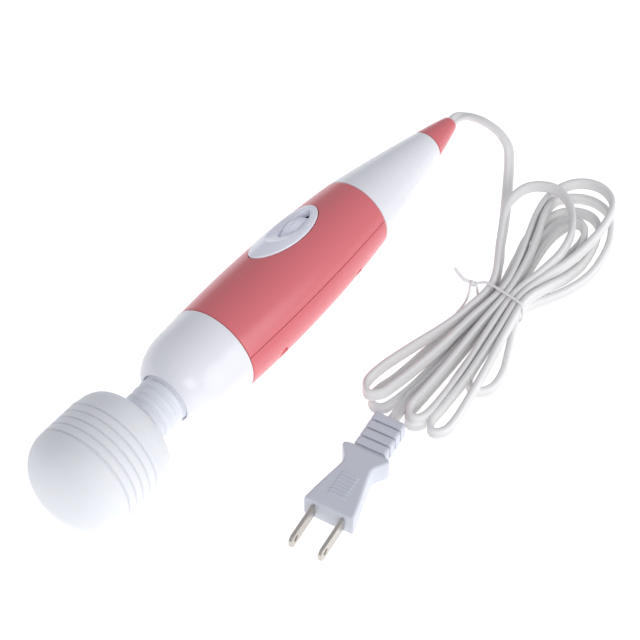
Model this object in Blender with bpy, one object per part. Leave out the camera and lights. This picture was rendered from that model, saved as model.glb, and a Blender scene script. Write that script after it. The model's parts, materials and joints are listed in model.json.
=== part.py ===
"""Handheld wand massager with a soft head on a flexible neck, lying on a surface beside its tied mains cord.

Metres, +Z up. The origin is on the surface, below the middle of the wand, and the wand points along X with
its head at -X. Every piece of the wand is built in the wand's own frame: its X axis is the wand's axis, its
X = 0 is the joint between the white shroud and the coloured casings, and its +Z passes through the dial.
"""

import math

import bmesh
import bpy
from mathutils import Matrix, Vector

# Wand's place: it rests on its head and on the casings' belly, so its axis falls a little towards the tail.
HEAD_RADIUS = 0.0228
WAND_MIDDLE_X = 0.0340
WAND_TILT = math.radians(1.4)
WAND_ROLL = math.radians(-24)
HEAD_REST_X = -0.0700
GAP = 0.0003

# Casings: a barrel whose radius falls away from its widest place.
BARREL_RADIUS = 0.02035
BARREL_WIDEST_X = 0.0260
BARREL_CURVE = 0.8
CASING_END_X = 0.0935
CASING_WALL = 0.0020

# Tail cone and the coloured tip at its end.
CONE_END_X = 0.1450
CONE_END_RADIUS = 0.0073
CONE_BULGE = 0.0003
TIP_END_X = 0.1630
TIP_END_RADIUS = 0.0033
TIP_BULGE = 0.0002
TAIL_WALL = 0.0018
TIP_BORE = 0.0027
SPIGOT_RADIUS = 0.0052

# White shroud: a bowl with its mouth round the neck.
BOWL_CENTRE_X = -0.0120
BOWL_CENTRE_RADIUS = 0.0080
BOWL_LENGTH = 0.0195
BOWL_HEIGHT = 0.0115
MOUTH_ANGLE = math.radians(22)
SHROUD_WALL = 0.0018
SLEEVE_LENGTH = 0.0060

# Flexible neck.
NECK_FRONT_X = -0.0508
NECK_REAR_X = -0.0272
NECK_FRONT_RADIUS = 0.0104
NECK_REAR_RADIUS = 0.0114
NECK_BORE = 0.0080
NECK_RIBS = 6
NECK_RIB_DEPTH = 0.0009
PITCH_X = -0.0350
YAW_X = -0.0430

# Head: a soft cover with raised rings over a hard cup.
DOME_BASE_X = -0.0779
DOME_HEIGHT = 0.0173
DOME_POWER = 2.2
RING_PITCH = 0.00385
RING_COUNT = 4
GROOVE_DEPTH = 0.0007
GROOVE_HALF_WIDTH = 0.0005
COVER_WALL = 0.0028
CUP_WALL = 0.0020
CUP_REAR_X = -0.0560

# Drive.
SHAFT_RADIUS = 0.0016
BEARING_RADIUS = 0.0055
CAN_RADIUS = 0.0119
CAN_WALL = 0.0010
CAN_END_X = 0.0320
MOTOR_END_X = 0.0360
WEIGHT_RADIUS = 0.0130

# Speed dial and its bezel.
DIAL_X = 0.0600
DIAL_Z = 0.0078
DIAL_RADIUS = 0.0115
DIAL_FLANK_RADIUS = 0.0075
DIAL_HALF_THICKNESS = 0.0042
AXLE_RADIUS = 0.0015
BEZEL_X = 0.0546
BEZEL_HALF_LENGTH = 0.0194
BEZEL_HALF_ANGLE = math.radians(29)
BEZEL_TAPER = 0.08
BEZEL_PROUD = 0.0004
BEZEL_DEPTH = 0.0037
DISH_X = 0.0590
DISH_HALF_LENGTH = 0.0130
DISH_HALF_ANGLE = math.radians(22)
DISH_DEPTH = 0.0019
OPENING_X = 0.0612
OPENING_HALF_LENGTH = 0.0100
OPENING_HALF_WIDTH = 0.0048
OPENING_POWER = 1.5

# Casing screws, (x, y) in the wand's frame.
SCREW_PLACES = [(0.0200, -0.0148), (0.0200, 0.0148), (0.0720, -0.0130), (0.0720, 0.0130)]
BOSS_RADIUS = 0.0025
SCREW_RADIUS = 0.0011
SCREW_HEAD_RADIUS = 0.0019
SCREW_HOLE = 0.0014

# Free cord: a flat twin flex, drawn here as a round tube of its full width.
CORD_WIDTH = 0.0048
CORD_REST_Z = 0.0025
CORD_SPACING = 0.0050

# The cord's route from the tip to the hank, and from the hank to the plug. World coordinates.
LEAD_ROUTE = [
    (0.1295, 0.0000, 0.0171),
    (0.1336, -0.0004, 0.0171),
    (0.1368, -0.0030, 0.0169),
    (0.1388, -0.0069, 0.0164),
    (0.1400, -0.0117, 0.0154),
    (0.1405, -0.0182, 0.0130),
    (0.1388, -0.0241, 0.0098),
    (0.1347, -0.0280, 0.0066),
    (0.1268, -0.0329, 0.0038),
    (0.1133, -0.0408, CORD_REST_Z),
    (0.1025, -0.0467, CORD_REST_Z),
    (0.0945, -0.0509, CORD_REST_Z),
]
TAIL_ROUTE = [
    (0.0134, -0.0676, 0.0038),
    (0.0066, -0.0679, 0.0044),
    (-0.0003, -0.0687, 0.0050),
    (-0.0062, -0.0694, 0.0055),
    (-0.0111, -0.0700, 0.0057),
]

# Hank: outline of the tied bundle, in world X and Y.
HANK_TOP = 0.0160
HANK_BASE = 0.0003
HANK_OUTLINE = [
    (0.0928, -0.0484),
    (0.0853, -0.0545),
    (0.0710, -0.0610),
    (0.0489, -0.0558),
    (0.0243, -0.0486),
    (0.0047, -0.0473),
    (-0.0042, -0.0522),
    (-0.0042, -0.0600),
    (0.0047, -0.0631),
    (0.0139, -0.0631),
    (0.0139, -0.0716),
    (0.0046, -0.0730),
    (-0.0038, -0.0752),
    (-0.0043, -0.0848),
    (0.0045, -0.0898),
    (0.0292, -0.0931),
    (0.0469, -0.0923),
    (0.0587, -0.0845),
    (0.0710, -0.0777),
    (0.0881, -0.0828),
    (0.1127, -0.0901),
    (0.1372, -0.0893),
    (0.1475, -0.0786),
    (0.1481, -0.0608),
    (0.1392, -0.0460),
    (0.1226, -0.0488),
    (0.1078, -0.0565),
    (0.0955, -0.0537),
]

# Twist tie round the hank's waist.
TIE_X = 0.0710
TIE_RADIUS = 0.0008

# Plug, in its own frame: x along the plug towards the cord, blades at -x.
PLUG_PLACE = (-0.0614, -0.0770, 0.0)
PLUG_TURN = math.radians(7.9)
PLUG_HALF_HEIGHT = 0.0055
PLUG_BODY_OUTLINE = [
    (0.0000, 0.0099),
    (0.0120, 0.0090),
    (0.0210, 0.0083),
    (0.0250, 0.0098),
    (0.0285, 0.0114),
    (0.0310, 0.0110),
    (0.0330, 0.0072),
]
RELIEF_START_X = 0.0325
RELIEF_END_X = 0.0502
RELIEF_PLATES = 4
RELIEF_PLATE_THICKNESS = 0.0034
RELIEF_PLATE_HALF = (0.0068, 0.0042)
RELIEF_CORE_HALF = (0.0050, 0.0030)
BLADE_PITCH = 0.0127
BLADE_LENGTH = 0.0180
BLADE_HALF_WIDTH = 0.00315
BLADE_HALF_THICKNESS = 0.00075
BLADE_ROOT_X = -GAP

# Sides of the round pieces, and points of a spline between two of its knots.
ROUND = 32
MID_ROUND = 24
SMALL_ROUND = 16
SPLINE_STEPS = 24


def clear_scene():
    for old in list(bpy.data.objects):
        bpy.data.objects.remove(old, do_unlink=True)


def finish_material(name, color, roughness, metallic=0.0):
    """A Principled material, made once for each name."""
    made = bpy.data.materials.get(name)
    if made is None:
        made = bpy.data.materials.new(name)
        made.use_nodes = True
        shader = made.node_tree.nodes["Principled BSDF"]
        shader.inputs["Base Color"].default_value = (*color, 1.0)
        shader.inputs["Roughness"].default_value = roughness
        shader.inputs["Metallic"].default_value = metallic
    return made


def soft_white():
    return finish_material("soft_white", (0.86, 0.86, 0.88), 0.55)


def gloss_white():
    return finish_material("gloss_white", (0.84, 0.84, 0.88), 0.18)


def salmon():
    return finish_material("salmon", (0.72, 0.17, 0.19), 0.35)


def steel():
    return finish_material("steel", (0.60, 0.60, 0.62), 0.32, 1.0)


def dark_steel():
    return finish_material("dark_steel", (0.28, 0.28, 0.30), 0.45, 1.0)


def inner_white():
    return finish_material("inner_white", (0.72, 0.72, 0.72), 0.5)


def black_rubber():
    return finish_material("black_rubber", (0.03, 0.03, 0.03), 0.8)


def board_green():
    return finish_material("board_green", (0.04, 0.22, 0.09), 0.5)


def copper():
    return finish_material("copper", (0.72, 0.33, 0.16), 0.4, 1.0)


def component(color):
    return finish_material("component_" + "_".join(f"{int(100 * c):02d}" for c in color), color, 0.4)


def cord_white():
    return finish_material("cord_white", (0.78, 0.77, 0.76), 0.45)


def add_object(name, bm, material, parent):
    """Turns a bmesh into a named object with its own material."""
    bmesh.ops.remove_doubles(bm, verts=bm.verts, dist=1e-7)
    bmesh.ops.recalc_face_normals(bm, faces=bm.faces)
    mesh = bpy.data.meshes.new(name)
    bm.to_mesh(mesh)
    bm.free()
    mesh.shade_smooth()
    mesh.set_sharp_from_angle(angle=math.radians(35))
    made = bpy.data.objects.new(name, mesh)
    bpy.context.scene.collection.objects.link(made)
    made.parent = parent
    if material is not None:
        mesh.materials.append(material)
    return made


def turn_outline(bm, outline, segments=ROUND, sweep=math.tau, start=0.0):
    """Adds the solid that a closed outline of (x, radius) points sweeps about the X axis."""
    first = Matrix.Rotation(start, 4, "X")
    ring = [bm.verts.new(first @ Vector((x, 0.0, radius))) for x, radius in outline]
    whole = sweep > math.tau - 1e-6
    geometry = [bm.edges.new((a, b)) for a, b in zip(ring, ring[1:] + ring[:1])]
    if not whole:
        geometry.append(bm.faces.new(ring))
    bmesh.ops.spin(
        bm,
        geom=ring + geometry,
        cent=(0, 0, 0),
        axis=(1, 0, 0),
        angle=sweep,
        steps=segments,
        use_merge=whole,
    )
    bmesh.ops.remove_doubles(bm, verts=bm.verts, dist=1e-7)
    flat = [face for face in bm.faces if face.calc_area() < 1e-14]
    bmesh.ops.delete(bm, geom=flat, context="FACES_ONLY")


def turned(name, outline, material, parent, segments=ROUND, sweep=math.tau, start=0.0):
    bm = bmesh.new()
    turn_outline(bm, outline, segments, sweep, start)
    return add_object(name, bm, material, parent)


def ring_outline(x_low, x_high, inner, outer):
    return [(x_low, outer), (x_high, outer), (x_high, inner), (x_low, inner)]


def extrude_outline(bm, points, travel):
    """Adds a prism: the closed outline of 3-D points, moved by travel."""
    face = bm.faces.new([bm.verts.new(point) for point in points])
    moved = bmesh.ops.extrude_face_region(bm, geom=[face])["geom"]
    bmesh.ops.translate(bm, vec=travel, verts=[v for v in moved if isinstance(v, bmesh.types.BMVert)])


def prism(name, points, travel, material, parent):
    bm = bmesh.new()
    extrude_outline(bm, points, travel)
    return add_object(name, bm, material, parent)


def arc(radius, start, end, count, centre=(0.0, 0.0)):
    """Points (a, b) on an arc, with angles in degrees."""
    angles = [math.radians(start + (end - start) * i / count) for i in range(count + 1)]
    return [(centre[0] + radius * math.cos(a), centre[1] + radius * math.sin(a)) for a in angles]


def arc_band(inner, outer, start, end, count):
    return arc(outer, start, end, count) + arc(inner, end, start, count)


def add_box(bm, low, high):
    size = Vector(high) - Vector(low)
    centre = (Vector(high) + Vector(low)) / 2
    bmesh.ops.create_cube(bm, size=1.0, matrix=Matrix.Translation(centre) @ Matrix.Diagonal((*size, 1.0)))


def box(name, low, high, material, parent):
    bm = bmesh.new()
    add_box(bm, low, high)
    return add_object(name, bm, material, parent)


def add_rod(bm, start, end, radius, segments=SMALL_ROUND):
    """Adds a cylinder between two points."""
    start, end = Vector(start), Vector(end)
    span = end - start
    turn = Vector((0, 0, 1)).rotation_difference(span).to_matrix().to_4x4()
    place = Matrix.Translation((start + end) / 2) @ turn
    bmesh.ops.create_cone(
        bm,
        cap_ends=True,
        segments=segments,
        radius1=radius,
        radius2=radius,
        depth=span.length,
        matrix=place,
    )


def rod(name, start, end, radius, material, parent, segments=SMALL_ROUND):
    bm = bmesh.new()
    add_rod(bm, start, end, radius, segments)
    return add_object(name, bm, material, parent)


def helper(made):
    """Marks an object that only cuts or joins, so it isn't a piece itself."""
    made.hide_render = True
    made.display_type = "WIRE"
    return made


def combine(target, other, operation):
    """Adds an exact Boolean of the target with the helper object."""
    step = target.modifiers.new(operation.lower() + "_" + other.name, "BOOLEAN")
    step.operation = operation
    step.object = helper(other)
    return target


def smooth_points(route, spacing):
    """Points at even spacing on the Catmull-Rom curve through the route's own points."""
    knots = [Vector(point) for point in route]
    knots = [2 * knots[0] - knots[1]] + knots + [2 * knots[-1] - knots[-2]]
    fine = []
    for a, b, c, d in zip(knots, knots[1:], knots[2:], knots[3:]):
        quadratic = 2 * a - 5 * b + 4 * c - d
        cubic = 3 * b - 3 * c + d - a
        for i in range(SPLINE_STEPS):
            t = i / SPLINE_STEPS
            fine.append(0.5 * (2 * b + (c - a) * t + quadratic * t**2 + cubic * t**3))
    fine.append(knots[-2])
    length = sum((b - a).length for a, b in zip(fine, fine[1:]))
    count = max(2, round(length / spacing))
    points, walked, target = [fine[0]], 0.0, length / count
    for a, b in zip(fine, fine[1:]):
        walked += (b - a).length
        if walked >= target - 1e-9 and len(points) < count:
            points.append(b)
            target += length / count
    points.append(fine[-1])
    return points


def tube(name, points, radius, material, parent=None, resolution=2):
    """A bevelled poly curve with filled caps."""
    curve = bpy.data.curves.new(name, "CURVE")
    curve.dimensions = "3D"
    curve.bevel_depth = radius
    curve.bevel_resolution = resolution
    curve.use_fill_caps = True
    spline = curve.splines.new("POLY")
    spline.points.add(len(points) - 1)
    for knot, point in zip(spline.points, points):
        knot.co = (*point, 1.0)
        knot.radius = 1.0
    curve.materials.append(material)
    made = bpy.data.objects.new(name, curve)
    bpy.context.scene.collection.objects.link(made)
    made.parent = parent
    return made


def steps(low, high, count):
    return [low + (high - low) * i / count for i in range(count + 1)]


def handle_radius(x):
    return BARREL_RADIUS - BARREL_CURVE * (x - BARREL_WIDEST_X) ** 2


def tapered_radius(x, x_low, x_high, r_low, r_high, bulge):
    t = (x - x_low) / (x_high - x_low)
    return r_low + (r_high - r_low) * t + bulge * 4 * t * (1 - t)


def cone_radius(x):
    start_radius = handle_radius(CASING_END_X)
    return tapered_radius(x, CASING_END_X, CONE_END_X, start_radius, CONE_END_RADIUS, CONE_BULGE)


def tip_radius(x):
    return tapered_radius(x, CONE_END_X, TIP_END_X, CONE_END_RADIUS, TIP_END_RADIUS, TIP_BULGE)


def make_wand_axis():
    """The empty that carries the wand's frame, tilted and rolled, with the head resting on z = 0."""
    axis = bpy.data.objects.new("wand_axis", None)
    bpy.context.scene.collection.objects.link(axis)
    height = HEAD_RADIUS / math.cos(WAND_TILT) + HEAD_REST_X * math.tan(WAND_TILT)
    place = Matrix.Translation((-WAND_MIDDLE_X, 0, height))
    axis.matrix_world = place @ Matrix.Rotation(WAND_TILT, 4, "Y") @ Matrix.Rotation(WAND_ROLL, 4, "X")
    return axis


def pivot(name, place, parent):
    """An empty on a joint's axis."""
    made = bpy.data.objects.new(name, None)
    bpy.context.scene.collection.objects.link(made)
    made.parent = parent
    made.location = place
    return made


def shift(outline, place):
    return [(x - place[0], y) for x, y in outline]


def dome_point(base_x, height, radius, t):
    """A point of a super-ellipse dome, from its rim at t = 0 to its apex at t = 1."""
    angle = t * math.pi / 2
    return (
        base_x - height * math.sin(angle) ** (2 / DOME_POWER),
        radius * math.cos(angle) ** (2 / DOME_POWER),
    )


def ringed_side():
    """Outer side of the head cover, from the dome's rim rearwards over the raised rings."""
    points = []
    for i in range(RING_COUNT + 1):
        groove = DOME_BASE_X + i * RING_PITCH
        points += [
            (groove - GROOVE_HALF_WIDTH, HEAD_RADIUS - 0.0002),
            (groove, HEAD_RADIUS - GROOVE_DEPTH),
            (groove + GROOVE_HALF_WIDTH, HEAD_RADIUS - 0.0002),
        ]
        if i < RING_COUNT:
            points.append((groove + RING_PITCH / 2, HEAD_RADIUS))
    return points


def make_head(axis):
    """Soft cover, hard cup with the front bearing seat, rear plate with the rear seat and the collar."""
    place = (YAW_X, 0, 0)
    head = pivot("head_pivot", place, axis)

    base_x, height, radius = DOME_BASE_X - 0.0010, DOME_HEIGHT - 0.0010, HEAD_RADIUS - 0.0001
    dome = [dome_point(base_x, height, radius, i / 7) for i in range(7, 0, -1)]
    dome[0] = (dome[0][0], 0.0)
    shoulder = [
        (-0.0585, 0.0223),
        (-0.0545, 0.0216),
        (-0.0520, 0.0203),
        (-0.0502, 0.0183),
        (-0.0488, 0.0147),
    ]
    mouth = [
        (-0.0484, 0.0113),
        (-0.0499, 0.0113),
        (-0.0503, 0.0145),
        (-0.0515, 0.0172),
        (-0.0535, 0.0190),
    ]
    inner_height, inner_radius = DOME_HEIGHT - COVER_WALL, HEAD_RADIUS - COVER_WALL
    inner_rim = [(-0.0555, inner_radius)]
    inner = [dome_point(DOME_BASE_X, inner_height, inner_radius, i / 6) for i in range(0, 7)]
    inner[-1] = (inner[-1][0], 0.0)
    outline = dome + ringed_side() + shoulder + mouth + inner_rim + inner
    turned("head_cover", shift(outline, place), soft_white(), head)

    cup_radius = HEAD_RADIUS - COVER_WALL - GAP
    cup_height = DOME_HEIGHT - COVER_WALL - GAP
    outer = [dome_point(DOME_BASE_X, cup_height, cup_radius, i / 6) for i in range(6, -1, -1)]
    outer[0] = (outer[0][0], 0.0)
    back = [(CUP_REAR_X, cup_radius), (CUP_REAR_X, cup_radius - CUP_WALL)]
    floor_x = DOME_BASE_X - cup_height + 0.0040
    seat = BEARING_RADIUS + GAP
    inside = [
        (DOME_BASE_X, cup_radius - CUP_WALL),
        (floor_x + 0.0030, 0.0150),
        (floor_x + 0.0006, 0.0085),
        (floor_x + 0.0046, 0.0075),
        (floor_x + 0.0046, seat),
        (floor_x, seat),
        (floor_x, 0.0),
    ]
    turned("head_cup", shift(outer + back + inside, place), inner_white(), head)
    front_x = floor_x + GAP
    bearing_outline = ring_outline(front_x, front_x + 0.0040, SHAFT_RADIUS + GAP, BEARING_RADIUS)
    turned("head_bearing_front", shift(bearing_outline, place), steel(), head, SMALL_ROUND)

    plate = [
        (CUP_REAR_X + GAP, 0.0195),
        (-0.0538, 0.0186),
        (-0.0520, 0.0168),
        (-0.0515, 0.0145),
        (-0.0515, 0.0077),
        (-0.0466, 0.0077),
        (-0.0466, 0.0060),
        (-0.0520, 0.0060),
        (-0.0520, 0.0040),
        (-0.0530, 0.0040),
        (-0.0530, seat),
        (-0.0570, seat),
        (-0.0570, 0.0075),
        (CUP_REAR_X + GAP, 0.0080),
    ]
    turned("head_rear_plate", shift(plate, place), inner_white(), head, MID_ROUND)
    rear_bearing = ring_outline(-0.0570, -0.0530 - GAP, SHAFT_RADIUS + GAP, BEARING_RADIUS)
    turned("head_bearing_rear", shift(rear_bearing, place), steel(), head, SMALL_ROUND)
    clamp = ring_outline(-0.0512, -0.0504, 0.0108, 0.0132)
    turned("neck_clamp_front", shift(clamp, place), steel(), head, MID_ROUND)
    return head


def make_eccentric(head):
    """The off-centre weight that shakes the head, on its own shaft."""
    spin = pivot("eccentric_pivot", (0, 0, 0), head)
    place = (YAW_X, 0, 0)
    shaft = [(-0.0876, 0.0), (-0.0876, SHAFT_RADIUS), (-0.0500, SHAFT_RADIUS), (-0.0500, 0.0)]
    turned("eccentric_shaft", shift(shaft, place), steel(), spin, 16)
    band = arc_band(SHAFT_RADIUS + GAP, WEIGHT_RADIUS, -190, 10, 20)
    low_x = -0.0800 - YAW_X
    points = [(low_x, y, z) for y, z in band]
    prism("eccentric_weight", points, (0.0180, 0, 0), dark_steel(), spin)
    coupling = [(-0.0497, 0.0), (-0.0497, 0.0030), (-0.0470, 0.0030), (-0.0470, 0.0)]
    turned("drive_coupling_front", shift(coupling, place), steel(), spin, 16)


def make_neck(axis):
    """Ribbed rubber sleeve with a flange at its rear, round the coil spring that carries the drive."""
    neck = pivot("neck_pivot", (PITCH_X, 0, 0), axis)
    place = (PITCH_X, 0, 0)
    ribs = []
    pitch = (NECK_REAR_X - NECK_FRONT_X) / NECK_RIBS
    for i in range(NECK_RIBS):
        x = NECK_FRONT_X + pitch * i
        crest = NECK_FRONT_RADIUS + (NECK_REAR_RADIUS - NECK_FRONT_RADIUS) * (i + 0.5) / NECK_RIBS
        ribs += [
            (x, crest - NECK_RIB_DEPTH),
            (x + pitch * 0.25, crest),
            (x + pitch * 0.75, crest),
        ]
    flange = [
        (NECK_REAR_X, 0.0105),
        (NECK_REAR_X, 0.0120),
        (NECK_REAR_X + 0.0018, 0.0120),
        (NECK_REAR_X + 0.0018, NECK_BORE),
        (NECK_FRONT_X, NECK_BORE),
    ]
    turned("neck_bellows", shift(ribs + flange, place), soft_white(), neck, MID_ROUND)

    start_x, end_x, turns, per_turn = -0.0465, -0.0278, 5, 9
    coil = []
    for i in range(turns * per_turn + 1):
        angle = math.tau * i / per_turn
        x = start_x + (end_x - start_x) * i / (turns * per_turn) - PITCH_X
        coil.append((x, 0.0024 * math.cos(angle), 0.0024 * math.sin(angle)))
    tube("drive_spring", coil, 0.0005, steel(), neck, 1)


def bowl_point(angle, inset=0.0):
    return (
        BOWL_CENTRE_X - (BOWL_LENGTH - inset) * math.cos(angle),
        BOWL_CENTRE_RADIUS + (BOWL_HEIGHT - inset) * math.sin(angle),
    )


def make_shroud(axis):
    """White bowl in front of the casings, with a sleeve that they close round."""
    outer = [bowl_point(MOUTH_ANGLE + (math.pi / 2 - MOUTH_ANGLE) * i / 7) for i in range(8)]
    inner_start = math.radians(22.5)
    inner = [bowl_point(inner_start + (math.pi / 2 - inner_start) * i / 5, SHROUD_WALL) for i in range(6)]
    rim = handle_radius(0)
    sleeve = handle_radius(0) - CASING_WALL - GAP
    back = [
        (-0.0060, 0.0196),
        (-0.0012, rim),
        (0.0, rim),
        (0.0, sleeve),
        (SLEEVE_LENGTH, sleeve),
        (SLEEVE_LENGTH, sleeve - 0.0015),
        (-0.0030, sleeve - 0.0015),
    ]
    turned("front_shroud", outer + back + inner[::-1], gloss_white(), axis)
    clamp = ring_outline(NECK_REAR_X + 0.0021, NECK_REAR_X + 0.0041, 0.0084, 0.0135)
    turned("neck_clamp_rear", clamp, steel(), axis, MID_ROUND)


def leaf_point(turn, scale_length, scale_angle):
    """A point (x, angle about the wand) on the bezel's outline, which is a little blunter at the tail end."""
    x = BEZEL_X + scale_length * math.cos(turn)
    return x, scale_angle * math.sin(turn) * (1 + BEZEL_TAPER * math.cos(turn))


def dish_depth(x, angle):
    away = ((x - DISH_X) / DISH_HALF_LENGTH) ** 2 + (angle / DISH_HALF_ANGLE) ** 2
    return DISH_DEPTH * max(0.0, 1 - away)


def leaf_solid(name, grow, radius_low, radius_high, parent, dished=False, material=None, rings=4):
    """A leaf-shaped slab of skin between two radii, each an offset from the casing's surface."""
    around = 28
    half_length = BEZEL_HALF_LENGTH + grow
    half_angle = BEZEL_HALF_ANGLE + grow / BARREL_RADIUS
    bm = bmesh.new()

    def vertex(x, angle, offset):
        sunk = dish_depth(x, angle) if dished and offset == radius_high else 0.0
        radius = handle_radius(x) + offset - sunk
        return bm.verts.new((x, radius * math.sin(angle), radius * math.cos(angle)))

    layers = []
    for offset in (radius_high, radius_low):
        middle = vertex(BEZEL_X, 0.0, offset)
        loops = []
        for ring in range(1, rings + 1):
            part = ring / rings
            turns = [math.tau * i / around for i in range(around)]
            outline = [leaf_point(turn, half_length * part, half_angle * part) for turn in turns]
            loops.append([vertex(x, angle, offset) for x, angle in outline])
        layers.append((middle, loops))
    for middle, loops in layers:
        for i in range(around):
            after = (i + 1) % around
            bm.faces.new((middle, loops[0][i], loops[0][after]))
            for near, far in zip(loops, loops[1:]):
                bm.faces.new((near[i], far[i], far[after], near[after]))
    top, bottom = layers[0][1][-1], layers[1][1][-1]
    for i in range(around):
        after = (i + 1) % around
        bm.faces.new((top[i], bottom[i], bottom[after], top[after]))
    return add_object(name, bm, material, parent)


def make_bezel(axis):
    """Leaf-shaped bezel with a dish, a pointed opening for the dial and a flange under the casing's wall."""
    bezel = leaf_solid("switch_bezel", -GAP, -0.0034, BEZEL_PROUD, axis, True, gloss_white())
    flange = leaf_solid("bezel_flange", 0.0012, -BEZEL_DEPTH, -CASING_WALL - GAP, axis, rings=2)
    combine(bezel, flange, "UNION")
    outline = []
    for i in range(24):
        turn = math.tau * i / 24
        across = abs(math.sin(turn)) ** OPENING_POWER * math.copysign(1, math.sin(turn))
        along = OPENING_X + OPENING_HALF_LENGTH * math.cos(turn)
        outline.append((along, OPENING_HALF_WIDTH * across, 0.0120))
    opening = prism("dial_opening", outline, (0, 0, 0.0120), None, axis)
    combine(bezel, opening, "DIFFERENCE")
    pocket = box("dial_pocket", (0.0470, -0.0052, 0.0100), (0.0730, 0.0052, 0.0166), None, axis)
    combine(bezel, pocket, "DIFFERENCE")


def make_dial(axis):
    """Crowned thumbwheel on its axle."""
    spin = pivot("dial_pivot", (DIAL_X, 0, DIAL_Z), axis)
    crown = []
    for i in range(9):
        turn = -math.pi / 2 + math.pi * i / 8
        rise = DIAL_RADIUS - DIAL_FLANK_RADIUS
        crown.append((DIAL_HALF_THICKNESS * math.sin(turn), DIAL_FLANK_RADIUS + rise * math.cos(turn)))
    bore = AXLE_RADIUS + GAP
    outline = [(-DIAL_HALF_THICKNESS, bore)] + crown + [(DIAL_HALF_THICKNESS, bore)]
    dial = turned("speed_dial", outline, gloss_white(), spin, MID_ROUND)
    dial.rotation_euler = (0, 0, math.pi / 2)
    rod("dial_axle", (0, -0.0055, 0), (0, 0.0072, 0), AXLE_RADIUS, steel(), spin, 16)
    return spin


def screw_bosses(name, z_low, z_high, axis):
    bm = bmesh.new()
    for x, y in SCREW_PLACES:
        add_rod(bm, (x, y, z_low), (x, y, z_high), BOSS_RADIUS, 16)
    return add_object(name, bm, None, axis)


def barrel_core(name, inset, axis):
    """The barrel's own solid, drawn in by inset, which trims what is built inside the casings."""
    xs = steps(0.0008, CASING_END_X - 0.0008, 8)
    outline = [(x, handle_radius(x) - inset) for x in xs]
    return turned(name, [(xs[0], 0.0)] + outline + [(xs[-1], 0.0)], None, axis, ROUND)


def make_casings(axis):
    """Two half shells, split beside the wand, with screw bosses and the bezel's cut-out."""
    xs = steps(GAP, CASING_END_X - GAP, 8)
    wall = [(x, handle_radius(x)) for x in xs] + [(x, handle_radius(x) - CASING_WALL) for x in reversed(xs)]
    seam = GAP / 2 / BARREL_RADIUS
    casings = {}
    for name, start, z_low, z_high in (
        ("upper_casing", -math.pi / 2 + seam, GAP / 2, 0.0110),
        ("lower_casing", math.pi / 2 + seam, -0.0160, -GAP / 2),
    ):
        casing = turned(name, wall, salmon(), axis, ROUND // 2, math.pi - 2 * seam, start)
        bosses = screw_bosses(name + "_bosses", z_low, z_high, axis)
        combine(bosses, barrel_core(name + "_core", 0.0005, axis), "INTERSECT")
        combine(casing, bosses, "UNION")
        casings[name] = casing

    cut = leaf_solid("bezel_cut", 0.0, -0.0030, 0.0030, axis, rings=2)
    combine(casings["upper_casing"], cut, "DIFFERENCE")

    bm = bmesh.new()
    for x, y in SCREW_PLACES:
        add_rod(bm, (x, y, -0.0120), (x, y, 0.0080), SCREW_HOLE, 12)
    holes = add_object("screw_holes", bm, None, axis)
    combine(casings["upper_casing"], holes, "DIFFERENCE")
    combine(casings["lower_casing"], holes, "DIFFERENCE")
    bm = bmesh.new()
    for x, y in SCREW_PLACES:
        add_rod(bm, (x, y, -0.0200), (x, y, -0.0085), SCREW_HEAD_RADIUS + GAP, 16)
    sinks = add_object("screw_sinks", bm, None, axis)
    combine(casings["lower_casing"], sinks, "DIFFERENCE")

    cradle = box("cord_cradle", (0.0780, -0.0090, -0.0160), (0.0840, 0.0090, -0.0028), None, axis)
    combine(cradle, barrel_core("cradle_core", 0.0005, axis), "INTERSECT")
    combine(casings["lower_casing"], cradle, "UNION")
    bm = bmesh.new()
    for y in (-0.0062, 0.0062):
        add_rod(bm, (0.0810, y, -0.0090), (0.0810, y, -0.0020), SCREW_RADIUS + GAP, 12)
    combine(casings["lower_casing"], add_object("clamp_screw_holes", bm, None, axis), "DIFFERENCE")


def make_screw(name, place, head_low, head_high, tip, parent):
    """A pan-head screw along local Z, its shank pointing from the head towards the tip."""
    x, y = place
    bm = bmesh.new()
    toward = 1 if tip > head_high else -1
    add_rod(bm, (x, y, head_low), (x, y, head_high), SCREW_HEAD_RADIUS, 16)
    screw = add_object(name, bm, steel(), parent)
    bm = bmesh.new()
    root = head_high if toward > 0 else head_low
    add_rod(bm, (x, y, root - toward * 0.0004), (x, y, tip), SCREW_RADIUS, 12)
    combine(screw, add_object(name + "_shank", bm, None, parent), "UNION")


def make_fasteners(axis):
    for number, place in enumerate(SCREW_PLACES, 1):
        make_screw(f"case_screw_{number}", place, -0.0102, -0.0088, 0.0060, axis)
    clamp = box("cord_clamp", (0.0783, -0.0088, 0.0027), (0.0837, 0.0088, 0.0047), inner_white(), axis)
    bm = bmesh.new()
    for y in (-0.0062, 0.0062):
        add_rod(bm, (0.0810, y, 0.0000), (0.0810, y, 0.0080), SCREW_RADIUS + GAP, 12)
    combine(clamp, add_object("clamp_holes", bm, None, axis), "DIFFERENCE")
    for number, y in enumerate((-0.0062, 0.0062), 1):
        make_screw(f"clamp_screw_{number}", (0.0810, y), 0.0047 + GAP, 0.0062, -0.0080, axis)


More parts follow.
